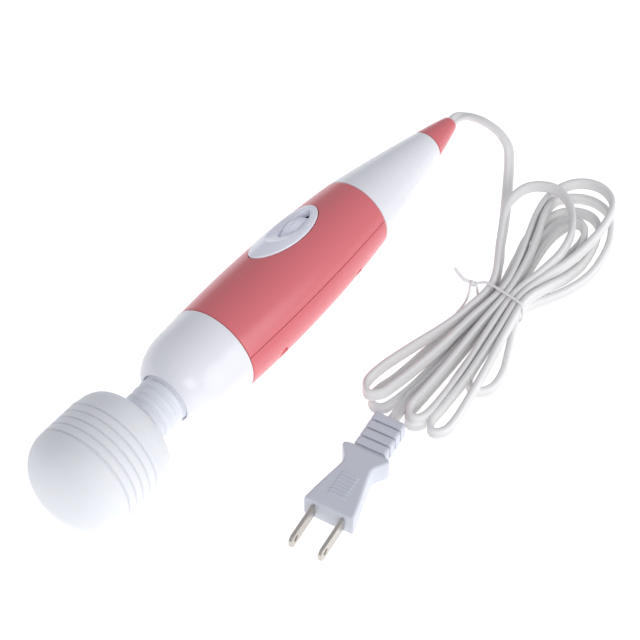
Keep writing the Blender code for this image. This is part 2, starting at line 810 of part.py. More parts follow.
def make_tail(axis):
    """White cone whose sleeve sits in the casings, and the coloured tip that the cord leaves."""
    xs = steps(CASING_END_X, CONE_END_X, 4)
    sleeve = handle_radius(CASING_END_X) - CASING_WALL - GAP
    outer = [(x, cone_radius(x)) for x in xs]
    inner = [(x, cone_radius(x) - TAIL_WALL) for x in reversed(xs[1:-1])]
    front = [
        (CASING_END_X, sleeve - 0.0014),
        (0.0870, sleeve - 0.0014),
        (0.0870, sleeve - 0.0002),
        (CASING_END_X, sleeve - 0.0002),
    ]
    end = [(CONE_END_X, SPIGOT_RADIUS + GAP)]
    turned("tail_cone", outer + end + inner + front, gloss_white(), axis)

    xs = steps(CONE_END_X + GAP, TIP_END_X, 4)
    outer = [(x, tip_radius(x)) for x in xs]
    bore = [(TIP_END_X, TIP_BORE), (0.1390, TIP_BORE)]
    spigot = [(0.1390, SPIGOT_RADIUS), (CONE_END_X + GAP, SPIGOT_RADIUS)]
    turned("tail_tip", outer + bore + spigot, salmon(), axis, MID_ROUND)


def make_motor(axis):
    """Direct-current motor between two rubber rings: can, magnets, rotor, end cap and brushes."""
    can = [
        (0.0, 0.0040),
        (0.0, CAN_RADIUS),
        (CAN_END_X, CAN_RADIUS),
        (CAN_END_X, CAN_RADIUS - CAN_WALL),
        (0.0012, CAN_RADIUS - CAN_WALL),
        (0.0012, 0.0040),
    ]
    turned("motor_can", can, steel(), axis, MID_ROUND)
    front = ring_outline(-0.0012, 0.0009, SHAFT_RADIUS + GAP, 0.0037)
    turned("motor_front_bush", front, copper(), axis, 16)
    cap = [
        (CAN_END_X + GAP, SHAFT_RADIUS + GAP),
        (CAN_END_X + GAP, CAN_RADIUS),
        (MOTOR_END_X, CAN_RADIUS),
        (MOTOR_END_X, SHAFT_RADIUS + GAP),
    ]
    turned("motor_end_cap", cap, inner_white(), axis, MID_ROUND)
    outer = CAN_RADIUS - CAN_WALL - GAP
    for name, centre in (("motor_magnet_left", 0), ("motor_magnet_right", 180)):
        band = arc_band(0.0087, outer, centre - 60, centre + 60, 10)
        points = [(0.0050, y, z) for y, z in band]
        prism(name, points, (0.0210, 0, 0), dark_steel(), axis)
    for name, side in (("motor_brush_left", 1), ("motor_brush_right", -1)):
        low, high = sorted((side * 0.0035, side * 0.0075))
        box(name, (0.0290, low, -0.0012), (0.0315, high, 0.0012), black_rubber(), axis)
    for name, x in (("motor_mount_front", 0.0090), ("motor_mount_rear", 0.0270)):
        ring = ring_outline(x, x + 0.0040, CAN_RADIUS + GAP, handle_radius(x) - CASING_WALL - 0.0005)
        turned(name, ring, black_rubber(), axis, MID_ROUND)


def make_rotor(axis):
    """Shaft, three-pole armature, commutator and rear half of the drive coupling."""
    spin = pivot("rotor_pivot", (0, 0, 0), axis)
    shaft = [(-0.0240, 0.0), (-0.0240, SHAFT_RADIUS), (0.0350, SHAFT_RADIUS), (0.0350, 0.0)]
    turned("motor_shaft", shaft, steel(), spin, 16)
    poles = []
    for pole in range(3):
        middle = 90 + 120 * pole
        poles += arc(0.0080, middle - 48, middle + 48, 6)
        poles += arc(0.0040, middle + 56, middle + 64, 1)
    points = [(0.0070, y, z) for y, z in poles]
    armature = prism("motor_armature", points, (0.0180, 0, 0), copper(), spin)
    bore = rod("armature_bore", (0.0050, 0, 0), (0.0270, 0, 0), SHAFT_RADIUS + GAP, None, spin, 16)
    combine(armature, bore, "DIFFERENCE")
    ring = ring_outline(0.0270, 0.0318, SHAFT_RADIUS + GAP, 0.0032)
    turned("motor_commutator", ring, copper(), spin, SMALL_ROUND)
    coupling = [(-0.0272, 0.0), (-0.0272, 0.0030), (-0.0243, 0.0030), (-0.0243, 0.0)]
    turned("drive_coupling_rear", coupling, steel(), spin, 16)


def make_electrics(axis):
    """Upright circuit board beside the dial, its parts, and the wires to the motor and from the cord."""
    box("circuit_board", (0.0460, 0.0080, -0.0120), (0.0760, 0.0096, 0.0120), board_green(), axis)
    front, back = (DIAL_X, 0.0048, DIAL_Z), (DIAL_X, 0.0077, DIAL_Z)
    pot = rod("speed_potentiometer", front, back, 0.0058, steel(), axis)
    hole = rod(
        "potentiometer_bore",
        (DIAL_X, 0.0040, DIAL_Z),
        (DIAL_X, 0.0080, DIAL_Z),
        AXLE_RADIUS + GAP,
        None,
        axis,
        16,
    )
    combine(pot, hole, "DIFFERENCE")
    amber = component((0.55, 0.36, 0.05))
    black = component((0.03, 0.03, 0.03))
    ceramic = component((0.6, 0.6, 0.58))
    box("film_capacitor", (0.0490, 0.0005, -0.0118), (0.0600, 0.0077, -0.0055), amber, axis)
    box("bridge_rectifier", (0.0620, 0.0040, -0.0110), (0.0690, 0.0077, -0.0055), black, axis)
    rod(
        "smoothing_capacitor",
        (0.0500, 0.0122, 0.0),
        (0.0620, 0.0122, 0.0),
        0.0023,
        component((0.05, 0.08, 0.30)),
        axis,
    )
    rod("board_fuse", (0.0610, 0.0060, -0.0035), (0.0710, 0.0060, -0.0035), 0.0014, ceramic, axis)

    rod("cord_inside", (0.0772, 0, 0), (TIP_END_X, 0, 0), CORD_WIDTH / 2, cord_white(), axis, 16)
    mains = (("mains_lead_1", 1, (0.7, 0.7, 0.7)), ("mains_lead_2", -1, (0.05, 0.05, 0.05)))
    for name, side, color in mains:
        route = [
            (0.0766, 0.0011 * side, 0),
            (0.0750, 0.0022, 0.0015 * side),
            (0.0738, 0.0050, 0.0030 * side),
            (0.0735, 0.0077, 0.0035 * side),
        ]
        tube(name, smooth_points(route, 0.0012), 0.0007, component(color), axis)
    motor = (("motor_lead_1", 1, (0.5, 0.02, 0.02)), ("motor_lead_2", -1, (0.05, 0.05, 0.05)))
    for name, side, color in motor:
        route = [
            (0.0363, 0.0055, 0.0070 * side),
            (0.0385, 0.0060, 0.0072 * side),
            (0.0420, 0.0080, 0.0080 * side),
            (0.0457, 0.0088, 0.0085 * side),
        ]
        tube(name, smooth_points(route, 0.0015), 0.0007, component(color), axis)


def make_cord():
    """Lead, tied hank and short tail of the free cord."""
    tube("cord_lead", smooth_points(LEAD_ROUTE, CORD_SPACING), CORD_WIDTH / 2, cord_white())
    tube("cord_tail", smooth_points(TAIL_ROUTE, CORD_SPACING), CORD_WIDTH / 2, cord_white())
    points = [(x, y, HANK_BASE) for x, y in HANK_OUTLINE]
    prism("cord_hank", points, (0, 0, HANK_TOP - HANK_BASE), cord_white(), None)


def make_tie():
    """Wire band of the twist tie, over the waist and down its side, with its free end."""
    y_low, y_high = -0.0780 - 0.0012, -0.0610 + 0.0012
    top = HANK_TOP + 0.0012
    route = [
        (TIE_X - 0.0120, -0.0470, top - 0.0030),
        (TIE_X - 0.0080, -0.0530, top - 0.0010),
        (TIE_X - 0.0020, y_high, top),
        (TIE_X, -0.0660, top + 0.0004),
        (TIE_X, -0.0730, top + 0.0004),
        (TIE_X, y_low - 0.0008, top - 0.0010),
        (TIE_X, y_low - 0.0014, 0.0110),
        (TIE_X - 0.0010, y_low - 0.0014, 0.0030),
    ]
    material = finish_material("tie", (0.85, 0.85, 0.85), 0.5)
    tube("twist_tie", smooth_points(route, 0.0030), TIE_RADIUS, material)


def make_plug():
    """Moulded plug body with its ribbed strain relief, and two flat blades."""
    plug = bpy.data.objects.new("plug_axis", None)
    bpy.context.scene.collection.objects.link(plug)
    plug.matrix_world = Matrix.Translation(PLUG_PLACE) @ Matrix.Rotation(PLUG_TURN, 4, "Z")
    middle = PLUG_HALF_HEIGHT + 0.0002
    outline = PLUG_BODY_OUTLINE + [(x, -y) for x, y in reversed(PLUG_BODY_OUTLINE)]
    points = [(x, y, middle - PLUG_HALF_HEIGHT) for x, y in outline]
    body = prism("plug_body", points, (0, 0, 2 * PLUG_HALF_HEIGHT), cord_white(), plug)
    half_y, half_z = RELIEF_CORE_HALF
    low = (RELIEF_START_X, -half_y, middle - half_z)
    high = (RELIEF_END_X - RELIEF_PLATE_THICKNESS / 2, half_y, middle + half_z)
    combine(body, box("relief_core", low, high, None, plug), "UNION")
    bm = bmesh.new()
    half_y, half_z = RELIEF_PLATE_HALF
    pitch = (RELIEF_END_X - RELIEF_START_X - RELIEF_PLATE_THICKNESS) / (RELIEF_PLATES - 1)
    for i in range(RELIEF_PLATES):
        x = RELIEF_START_X + 0.0003 + pitch * i
        thickness = RELIEF_PLATE_THICKNESS - (0.0003 if i == RELIEF_PLATES - 1 else 0.0)
        add_box(bm, (x, -half_y, middle - half_z), (x + thickness, half_y, middle + half_z))
    combine(body, add_object("relief_plates", bm, None, plug), "UNION")
    for name, side in (("plug_blade_left", 1), ("plug_blade_right", -1)):
        centre = side * BLADE_PITCH / 2
        bm = bmesh.new()
        tip = BLADE_ROOT_X - BLADE_LENGTH
        chamfer = 0.0015
        side_view = [
            (BLADE_ROOT_X, -BLADE_HALF_WIDTH),
            (BLADE_ROOT_X, BLADE_HALF_WIDTH),
            (tip + chamfer, BLADE_HALF_WIDTH),
            (tip, BLADE_HALF_WIDTH - chamfer),
            (tip, -BLADE_HALF_WIDTH + chamfer),
            (tip + chamfer, -BLADE_HALF_WIDTH),
        ]
        points = [(x, centre - BLADE_HALF_THICKNESS, middle + z) for x, z in side_view]
        extrude_outline(bm, points, (0, 2 * BLADE_HALF_THICKNESS, 0))
        blade = add_object(name, bm, steel(), plug)
        hole = rod(
            name + "_hole",
            (tip + 0.0035, centre - 0.0020, middle),
            (tip + 0.0035, centre + 0.0020, middle),
            0.0014,
            None,
            plug,
            12,
        )
        combine(blade, hole, "DIFFERENCE")


def main():
    clear_scene()
    axis = make_wand_axis()
    make_eccentric(make_head(axis))
    make_neck(axis)
    make_shroud(axis)
    make_casings(axis)
    make_bezel(axis)
    make_dial(axis)
    make_fasteners(axis)
    make_tail(axis)
    make_motor(axis)
    make_rotor(axis)
    make_electrics(axis)
    make_cord()
    make_tie()
    make_plug()


main()
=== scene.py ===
"""Looks of the handheld wand massager: fine shells, soft head, ribbed neck, dial, tied flat cord and plug.

Metres, +Z up. The wand's pieces are drawn in the wand's own frame, which is read from the joints of the
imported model: X is the motor's axis, towards the tail, Y the neck's pitch axis and Z its yaw axis. X = 0 is
the joint between the white shroud and the coloured casings, and +Z passes through the speed dial.
"""

import json
import math

import bmesh
import bpy
from mathutils import Matrix, Vector


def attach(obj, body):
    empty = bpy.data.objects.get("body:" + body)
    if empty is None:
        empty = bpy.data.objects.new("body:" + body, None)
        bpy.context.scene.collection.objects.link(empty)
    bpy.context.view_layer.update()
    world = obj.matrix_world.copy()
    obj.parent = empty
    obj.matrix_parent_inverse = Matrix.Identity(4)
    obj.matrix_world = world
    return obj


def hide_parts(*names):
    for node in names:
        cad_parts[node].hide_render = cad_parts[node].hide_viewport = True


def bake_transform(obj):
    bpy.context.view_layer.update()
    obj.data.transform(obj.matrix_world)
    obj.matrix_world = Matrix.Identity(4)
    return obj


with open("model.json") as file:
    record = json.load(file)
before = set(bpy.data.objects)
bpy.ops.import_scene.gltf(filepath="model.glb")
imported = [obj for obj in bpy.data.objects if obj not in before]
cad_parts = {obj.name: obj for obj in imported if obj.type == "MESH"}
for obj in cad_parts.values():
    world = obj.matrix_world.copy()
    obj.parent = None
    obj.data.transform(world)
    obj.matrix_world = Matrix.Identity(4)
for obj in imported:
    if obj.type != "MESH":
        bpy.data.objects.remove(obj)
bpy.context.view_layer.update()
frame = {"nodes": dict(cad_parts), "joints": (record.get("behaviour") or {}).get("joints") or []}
GAP = 0.0003

# Head.
HEAD_RADIUS = 0.0228
DOME_BASE_X = -0.0779
DOME_HEIGHT = 0.0173
DOME_POWER = 2.2
GROOVE_PITCH = 0.00385
GROOVES = 5
GROOVE_DEPTH = 0.0008
GROOVE_WIDTH = 0.00034
RING_CROWN = 0.00022
COVER_WALL = 0.0028
HEAD_SHOULDER = [
    (-0.0585, 0.0223), (-0.0560, 0.0220), (-0.0540, 0.0214),
    (-0.0520, 0.0203), (-0.0505, 0.0187), (-0.0494, 0.0165),
    (-0.0488, 0.0141), (-0.0484, 0.0116),
]
HEAD_MOUTH = [
    (-0.0485, 0.0113), (-0.0499, 0.0113), (-0.0503, 0.0145),
    (-0.0515, 0.0172), (-0.0535, 0.0190),
]
HEAD_RIM_X = -0.0555

# Neck.
NECK_FRONT_X = -0.0508
NECK_REAR_X = -0.0272
NECK_SPLIT_X = -0.0390
NECK_FRONT_RADIUS = 0.0103
NECK_REAR_RADIUS = 0.0108
NECK_BORE = 0.0080
NECK_RIBS = 6
NECK_RIB_DEPTH = 0.0009
NECK_FLANGE_RADIUS = 0.0120
NECK_FLANGE_LENGTH = 0.0018

# Shroud.
BOWL_CENTRE_X = -0.0120
BOWL_CENTRE_RADIUS = 0.0080
BOWL_LENGTH = 0.0195
BOWL_HEIGHT = 0.0115
MOUTH_ANGLE = math.radians(18)
SHROUD_WALL = 0.0018
SHROUD_BEAD = 0.00022
SLEEVE_LENGTH = 0.0060
SLEEVE_WALL = 0.0015

# Casings.
BARREL_RADIUS = 0.02035
BARREL_WIDEST_X = 0.0260
BARREL_CURVE = 0.8
CASING_END_X = 0.0935
CASING_WALL = 0.0020
EDGE_ROUND = 0.00022
SCREW_PLACES = [(0.0200, -0.0148), (0.0200, 0.0148), (0.0720, -0.0130), (0.0720, 0.0130)]
SCREW_HEAD_Z = -0.0102
SCREW_HEAD_RADIUS = 0.0019
SCREW_HEAD_HEIGHT = 0.0014
SCREW_RADIUS = 0.0011
SCREW_END_Z = 0.0060
CROSS_SIZE = (0.0014, 0.0022, 0.00045)
WELL_RADIUS = 0.0022
WELL_WALL = 0.0003

# Tail.
CONE_END_X = 0.1450
CONE_END_RADIUS = 0.0073
CONE_BULGE = 0.0003
TIP_END_X = 0.1630
TIP_END_RADIUS = 0.0033
TIP_BULGE = 0.0002
TAIL_WALL = 0.0018
TIP_BORE = 0.0025
SPIGOT_START_X = 0.1390
SPIGOT_RADIUS = 0.0052
SPIGOT_WALL = 0.0014
CONE_SLEEVE_X = 0.0870

# Bezel and dial.
BEZEL_X = 0.0543
BEZEL_HALF_LENGTH = 0.0198
BEZEL_HALF_ANGLE = math.radians(29)
BEZEL_TAPER = 0.08
BEZEL_PROUD = 0.0005
BEZEL_DEPTH = 0.0033
BEZEL_RIM = [
    (-GAP, -BEZEL_DEPTH), (-GAP, -0.0002), (-GAP, 0.0),
    (-0.00036, 0.00028), (-0.00052, 0.00043),
]
BEZEL_RIM_WIDTH = 0.0007
DISH_X = 0.0590
DISH_HALF_LENGTH = 0.0130
DISH_HALF_ANGLE = math.radians(22)
DISH_DEPTH = 0.0019
DISH_POWER = 0.62
OPENING_X = 0.0612
OPENING_HALF_LENGTH = 0.0100
OPENING_HALF_WIDTH = 0.0048
OPENING_POWER = 1.25
DIAL_X = 0.0600
DIAL_Z = 0.0078
DIAL_RADIUS = 0.0119
DIAL_FLANK_RADIUS = 0.0075
DIAL_HALF_THICKNESS = 0.0040
DIAL_RIBS = 56
DIAL_RIB_HEIGHT = 0.00055
DIAL_POINTS_PER_RIB = 10
DIAL_MARK_ANGLE = math.radians(-40)
DIAL_MARK_HALF_ANGLE = math.radians(11)
DIAL_BORE = 0.0018

# Cord: two round cores side by side.
CORD_WIDTH = 0.0048
CORD_THICKNESS = 0.0026
CORD_STEP = 0.0011
INLET_X = 0.0772

# Roll of the cord about its own line, in degrees, from lying flat: inside the tail, on the free lead and in
# the hank, where the strands also lean back from the viewer.
TAIL_ROLL = -24.0
LEAD_ROLL = 18.0
ON_EDGE = 90.0
LEAN = 32.0

# Route of the cord in the world: (x, y, z), from the tip to the hank and from the hank to the plug.
REST_Z = 0.0025
LEAD_ROUTE = [
    (0.1295, 0.0000, 0.0171), (0.1336, -0.0004, 0.0171), (0.1368, -0.0030, 0.0169),
    (0.1388, -0.0069, 0.0164), (0.1400, -0.0117, 0.0154), (0.1405, -0.0182, 0.0130),
    (0.1388, -0.0241, 0.0098), (0.1347, -0.0280, 0.0066), (0.1268, -0.0329, 0.0038),
    (0.1133, -0.0408, REST_Z), (0.1025, -0.0467, REST_Z), (0.0945, -0.0509, REST_Z),
    (0.0870, -0.0556, REST_Z),
]
TAIL_ROUTE = [
    (0.0124, -0.0682, 0.0038), (0.0066, -0.0679, 0.0044), (-0.0003, -0.0687, 0.0050),
    (-0.0062, -0.0694, 0.0055), (-0.0111, -0.0700, 0.0057),
]

# The hank's waist, where the tie holds it: strands on edge in two layers of columns.
WAIST_X = 0.0710
WAIST_Y = -0.0622
COLUMN_PITCH = 0.00270
WAIST_LOW_Z = 0.0027
LAYER_PITCH = 0.0050

# The hank's turns in the order of the cord: the strand of the waist that a turn starts from, as (layer,
# column), and the points of the fold (at the plug's end) or loop (at the tail's end) that follows it.
TURNS = [
    ((0, 0), [
        (.0500, -.0600, .0025), (.0300, -.0592, .0025), (.0115, -.0574, .0025), (.0010, -.0552, .0025),
        (-.0045, -.0556, .0025), (-.0068, -.0588, .0025), (-.0050, -.0622, .0025), (.0010, -.0641, .0025),
        (.0120, -.0655, .0025), (.0290, -.0658, .0025), (.0500, -.0645, .0025)]),
    ((0, 1), [
        (.0900, -.0610, .0025), (.1040, -.0577, .0025), (.1155, -.0584, .0025), (.1242, -.0606, .0026),
        (.1295, -.0659, .0027), (.1310, -.0728, .0027), (.1275, -.0787, .0027), (.1180, -.0827, .0030),
        (.1055, -.0847, .0036), (.0940, -.0837, .0048), (.0850, -.0812, .0062)]),
    ((1, 6), [
        (.0525, -.0812, .0075), (.0345, -.0850, .0074), (.0200, -.0877, .0072), (.0060, -.0896, .0060),
        (-.0015, -.0894, .0054), (-.0050, -.0859, .0052), (-.0015, -.0825, .0056), (.0080, -.0824, .0064),
        (.0250, -.0818, .0075), (.0500, -.0786, .0076)]),
    ((1, 5), [
        (.0870, -.0780, .0077), (.0980, -.0809, .0080), (.1105, -.0824, .0081), (.1260, -.0820, .0081),
        (.1378, -.0787, .0081), (.1429, -.0721, .0081), (.1428, -.0651, .0081), (.1389, -.0589, .0079),
        (.1320, -.0550, .0074), (.1245, -.0538, .0067), (.1150, -.0553, .0066), (.1037, -.0588, .0070),
        (.0880, -.0640, .0076)]),
    ((1, 2), [
        (.0490, -.0659, .0077), (.0292, -.0648, .0080), (.0136, -.0628, .0078), (.0040, -.0610, .0075),
        (-.0024, -.0594, .0074), (-.0063, -.0554, .0074), (-.0024, -.0515, .0074), (.0040, -.0512, .0074),
        (.0128, -.0526, .0073), (.0264, -.0560, .0073), (.0400, -.0598, .0075), (.0530, -.0620, .0077)]),
    ((1, 0), [
        (.0900, -.0526, .0094), (.1048, -.0452, .0106), (.1140, -.0437, .0112), (.1224, -.0461, .0116),
        (.1274, -.0530, .0118), (.1272, -.0603, .0117), (.1213, -.0686, .0114), (.1115, -.0745, .0110),
        (.1000, -.0769, .0104), (.0880, -.0757, .0090)]),
    ((1, 4), [
        (.0490, -.0753, .0077), (.0272, -.0786, .0076), (.0090, -.0800, .0075), (-.0020, -.0797, .0074),
        (-.0056, -.0761, .0074), (-.0020, -.0725, .0074), (.0080, -.0722, .0075), (.0252, -.0720, .0076),
        (.0490, -.0709, .0077)]),
    ((1, 3), [
        (.0900, -.0668, .0076), (.1037, -.0627, .0077), (.1130, -.0594, .0077), (.1215, -.0570, .0066),
        (.1292, -.0568, .0044), (.1352, -.0601, .0027), (.1386, -.0655, .0025), (.1392, -.0719, .0025),
        (.1364, -.0787, .0025), (.1270, -.0850, .0025), (.1160, -.0887, .0025), (.1020, -.0898, .0025),
        (.0890, -.0865, .0025)]),
    ((0, 6), [
        (.0600, -.0808, .0025), (.0480, -.0858, .0025), (.0378, -.0900, .0025), (.0295, -.0910, .0025),
        (.0245, -.0882, .0025), (.0240, -.0838, .0025), (.0295, -.0804, .0025), (.0400, -.0785, .0025),
        (.0520, -.0770, .0025)]),
    ((0, 5), [
        (.0880, -.0778, .0026), (.0985, -.0800, .0030), (.1085, -.0804, .0044), (.1153, -.0788, .0066),
        (.1200, -.0750, .0076), (.1198, -.0704, .0068), (.1149, -.0670, .0045), (.1056, -.0660, .0027),
        (.0890, -.0683, .0025)]),
    ((0, 3), [
        (.0490, -.0706, .0025), (.0252, -.0714, .0025), (.0085, -.0717, .0025), (-.0020, -.0721, .0025),
        (-.0055, -.0755, .0025), (-.0020, -.0790, .0025), (.0076, -.0792, .0025), (.0252, -.0768, .0025),
        (.0490, -.0745, .0025)]),
    ((0, 4), [
        (.0880, -.0746, .0025), (.1026, -.0766, .0025), (.1143, -.0773, .0025), (.1222, -.0753, .0025),
        (.1252, -.0701, .0025), (.1222, -.0650, .0025), (.1154, -.0626, .0025), (.1037, -.0622, .0025),
        (.0880, -.0650, .0025)]),
    ((0, 2), [
        (.0490, -.0676, .0027), (.0280, -.0684, .0032)]),
]

# Tie: its knot, the band from over the hank to under it, and its two free ends.
TIE_RADIUS = 0.00055
TIE_KNOT = (0.0657, -0.0580, 0.0090)
TIE_BAND = [
    (0.0674, -0.0603, 0.0106), (0.0679, -0.0630, 0.0109), (0.0677, -0.0680, 0.0109),
    (0.0674, -0.0730, 0.0109), (0.0671, -0.0775, 0.0107), (0.0667, -0.0800, 0.0094),
    (0.0660, -0.0810, 0.0060), (0.0656, -0.0807, 0.0022), (0.0655, -0.0785, 0.0007),
    (0.0653, -0.0700, 0.0007), (0.0650, -0.0620, 0.0007), (0.0648, -0.0600, 0.0020),
    (0.0650, -0.0591, 0.0050),
]
TIE_THICK_END = [
    (0.0640, -0.0530, 0.0102), (0.0640, -0.0502, 0.0118), (0.0643, -0.0476, 0.0138),
]
TIE_THIN_END = [
    (0.0610, -0.0573, 0.0072), (0.0567, -0.0580, 0.0052), (0.0533, -0.0573, 0.0030),
    (0.0500, -0.0567, 0.0010),
]

# Plug, in its own frame: x along it towards the cord, blades at -x.
PLUG_PLACE = (-0.0614, -0.0770, 0.0057)
PLUG_TURN = math.radians(7.9)
PLUG_HALF_HEIGHT = 0.0055
PLUG_SIDE = [
    (0.0000, 0.0108), (0.0060, 0.0097), (0.0120, 0.0084),
    (0.0180, 0.0070), (0.0220, 0.0063), (0.0245, 0.0067),
    (0.0270, 0.0084), (0.0292, 0.0100), (0.0308, 0.0099),
    (0.0320, 0.0084), (0.0329, 0.0060),
]
PLUG_CORNER = 0.0012
PLUG_STEP = 0.00025
SHOULDER_X = 0.0300
SHOULDER_DROP = 0.0022
RELIEF_START_X = 0.0325
RELIEF_END_X = 0.0502
RELIEF_PLATES = 4
RELIEF_PLATE_THICKNESS = 0.0043
RELIEF_PLATE_HALF = (0.0068, 0.0042)
RELIEF_CORE_HALF = (0.0050, 0.0030)
RELIEF_EDGE = 0.00025
GRIP_FIRST_X = 0.0066
GRIP_PITCH = 0.0017
GRIP_RIBS = 7
GRIP_HALF_WIDTH = 0.0038
GRIP_HEIGHT = 0.00045
BLADE_PITCH = 0.0127
BLADE_LENGTH = 0.0180
BLADE_HALF_WIDTH = 0.00315
BLADE_HALF_THICKNESS = 0.00075
BLADE_CHAMFER = 0.0015
BLADE_EDGE = 0.00012
BLADE_HOLE_RADIUS = 0.0014
BLADE_HOLE_FROM_TIP = 0.0035

# Camera.
VIEW_TARGET = (0.0176, -0.0133, 0.0)
VIEW_DISTANCE = 0.8902
VIEW_HEADING = math.radians(37.09)
VIEW_ELEVATION = math.radians(50.36)
VIEW_LENS = 121.5
SENSOR_WIDTH = 36.0

# Light: the floor's own glow, the sky, and the lamps as (name, to the right, towards the viewer, up, size,
# power).
FLOOR_GLOW = 0.62
SKY_STRENGTH = 0.56
LIGHTS = [
    ("key", 1.00, 0.45, 0.45, 0.9, 4.4),
    ("front", 0.10, 1.10, 0.70, 0.6, 3.1),
]

# Sides of a round piece, and points of a spline between two of its knots.
ROUND = 128
SPLINE_STEPS = 24

# Shader constants: sockets of the colour Mix node, and depths in metres.
MIX_COLORS = (6, 7)
MIX_RESULT = 2
GRAIN_DEPTH = 0.0004
SUBSURFACE_DEPTH = 0.003
COAT_ROUGHNESS = 0.04


def joint(name):
    return next(each for each in frame["joints"] if each["name"] == name)


def wand_matrix():
    """The wand's frame, from the joints' axes."""
    axes = [Vector(joint(name)["axis"]).normalized() for name in ("motor_spin", "neck_pitch", "neck_yaw")]
    turn = Matrix(axes).transposed().to_4x4()
    return Matrix.Translation(joint("motor_spin")["pos_m"]) @ turn


WAND = wand_matrix()
PLUG = Matrix.Translation(PLUG_PLACE) @ Matrix.Rotation(PLUG_TURN, 4, "Z")


# Materials -----------------------------------------------------------------------------------------


def procedural(name, color, roughness, metallic=0.0, mottle=0.03, mottle_scale=90.0, grain=0.02,
               grain_scale=4000.0, rough_spread=0.05, coat=0.0, subsurface=0.0):
    """A moulded or plated surface: slow colour drift, a fine grain and a roughness that varies a little."""
    made = bpy.data.materials.get(name)
    if made is not None:
        return made
    made = bpy.data.materials.new(name)
    made.use_nodes = True
    nodes, links = made.node_tree.nodes, made.node_tree.links
    shader = nodes["Principled BSDF"]
    shader.inputs["Metallic"].default_value = metallic
    shader.inputs["Coat Weight"].default_value = coat
    shader.inputs["Coat Roughness"].default_value = COAT_ROUGHNESS
    shader.inputs["Subsurface Weight"].default_value = subsurface
    shader.inputs["Subsurface Scale"].default_value = SUBSURFACE_DEPTH
    place = nodes.new("ShaderNodeTexCoord")

    def noise(scale, detail):
        node = nodes.new("ShaderNodeTexNoise")
        node.inputs["Scale"].default_value = scale
        node.inputs["Detail"].default_value = detail
        links.new(place.outputs["Object"], node.inputs["Vector"])
        return node.outputs["Fac"]

    drift = nodes.new("ShaderNodeMix")
    drift.data_type = "RGBA"
    links.new(noise(mottle_scale, 3), drift.inputs[0])
    for socket, shift in zip(MIX_COLORS, (1 - mottle, 1 + mottle)):
        drift.inputs[socket].default_value = (*[min(1.0, channel * shift) for channel in color], 1.0)
    links.new(drift.outputs[MIX_RESULT], shader.inputs["Base Color"])

    spread = nodes.new("ShaderNodeMapRange")
    spread.inputs["To Min"].default_value = max(0.02, roughness - rough_spread)
    spread.inputs["To Max"].default_value = roughness + rough_spread
    links.new(noise(mottle_scale * 6, 4), spread.inputs["Value"])
    links.new(spread.outputs["Result"], shader.inputs["Roughness"])

    bump = nodes.new("ShaderNodeBump")
    bump.inputs["Strength"].default_value = grain
    bump.inputs["Distance"].default_value = GRAIN_DEPTH
    links.new(noise(grain_scale, 2), bump.inputs["Height"])
    links.new(bump.outputs["Normal"], shader.inputs["Normal"])
    return made


def silicone_white():
    color = (0.78, 0.79, 0.82)
    return procedural("silicone_white", color, 0.55, grain=0.05, grain_scale=6000, subsurface=0.08)


def neck_white():
    return procedural("neck_white", (0.75, 0.77, 0.82), 0.48, grain=0.05, grain_scale=5000)


def gloss_white():
    return procedural("gloss_white", (0.71, 0.75, 0.88), 0.14, grain=0.01, rough_spread=0.03, coat=0.4)


def bezel_white():
    return procedural("bezel_white", (0.88, 0.89, 0.97), 0.18, grain=0.01, rough_spread=0.03, coat=0.3)


def salmon():
    return procedural("salmon", (0.83, 0.245, 0.225), 0.44, mottle=0.02, grain=0.06, grain_scale=5500)


def cord_white():
    return procedural("cord_white", (0.63, 0.62, 0.62), 0.42, mottle=0.03, mottle_scale=160, grain=0.05)


def plug_white():
    return procedural("plug_white", (0.60, 0.62, 0.68), 0.38, grain=0.05)


def tie_white():
    return procedural("tie_white", (0.66, 0.63, 0.62), 0.45, grain=0.08, mottle=0.05, mottle_scale=300)


def nickel():
    return procedural("nickel", (0.58, 0.54, 0.49), 0.36, metallic=1.0, grain=0.05, grain_scale=9000)


def steel():
    return procedural("steel", (0.56, 0.56, 0.58), 0.30, metallic=1.0, grain=0.05, grain_scale=8000)


INNER_FINISHES = {
    "inner_white": ((0.62, 0.62, 0.61), 0.50, 0.0),
    "steel": ((0.56, 0.56, 0.58), 0.30, 1.0),
    "iron": ((0.24, 0.24, 0.26), 0.48, 1.0),
    "copper": ((0.72, 0.34, 0.17), 0.36, 1.0),
    "carbon": ((0.03, 0.03, 0.03), 0.60, 0.0),
    "rubber": ((0.04, 0.04, 0.04), 0.75, 0.0),
    "board": ((0.04, 0.20, 0.09), 0.42, 0.0),
    "amber": ((0.50, 0.30, 0.05), 0.35, 0.0),
    "blue_sleeve": ((0.04, 0.07, 0.28), 0.35, 0.0),
    "ceramic": ((0.62, 0.62, 0.60), 0.40, 0.0),
    "red_sleeve": ((0.45, 0.03, 0.03), 0.45, 0.0),
    "black_sleeve": ((0.03, 0.03, 0.03), 0.45, 0.0),
    "grey_sleeve": ((0.45, 0.45, 0.45), 0.45, 0.0),
}
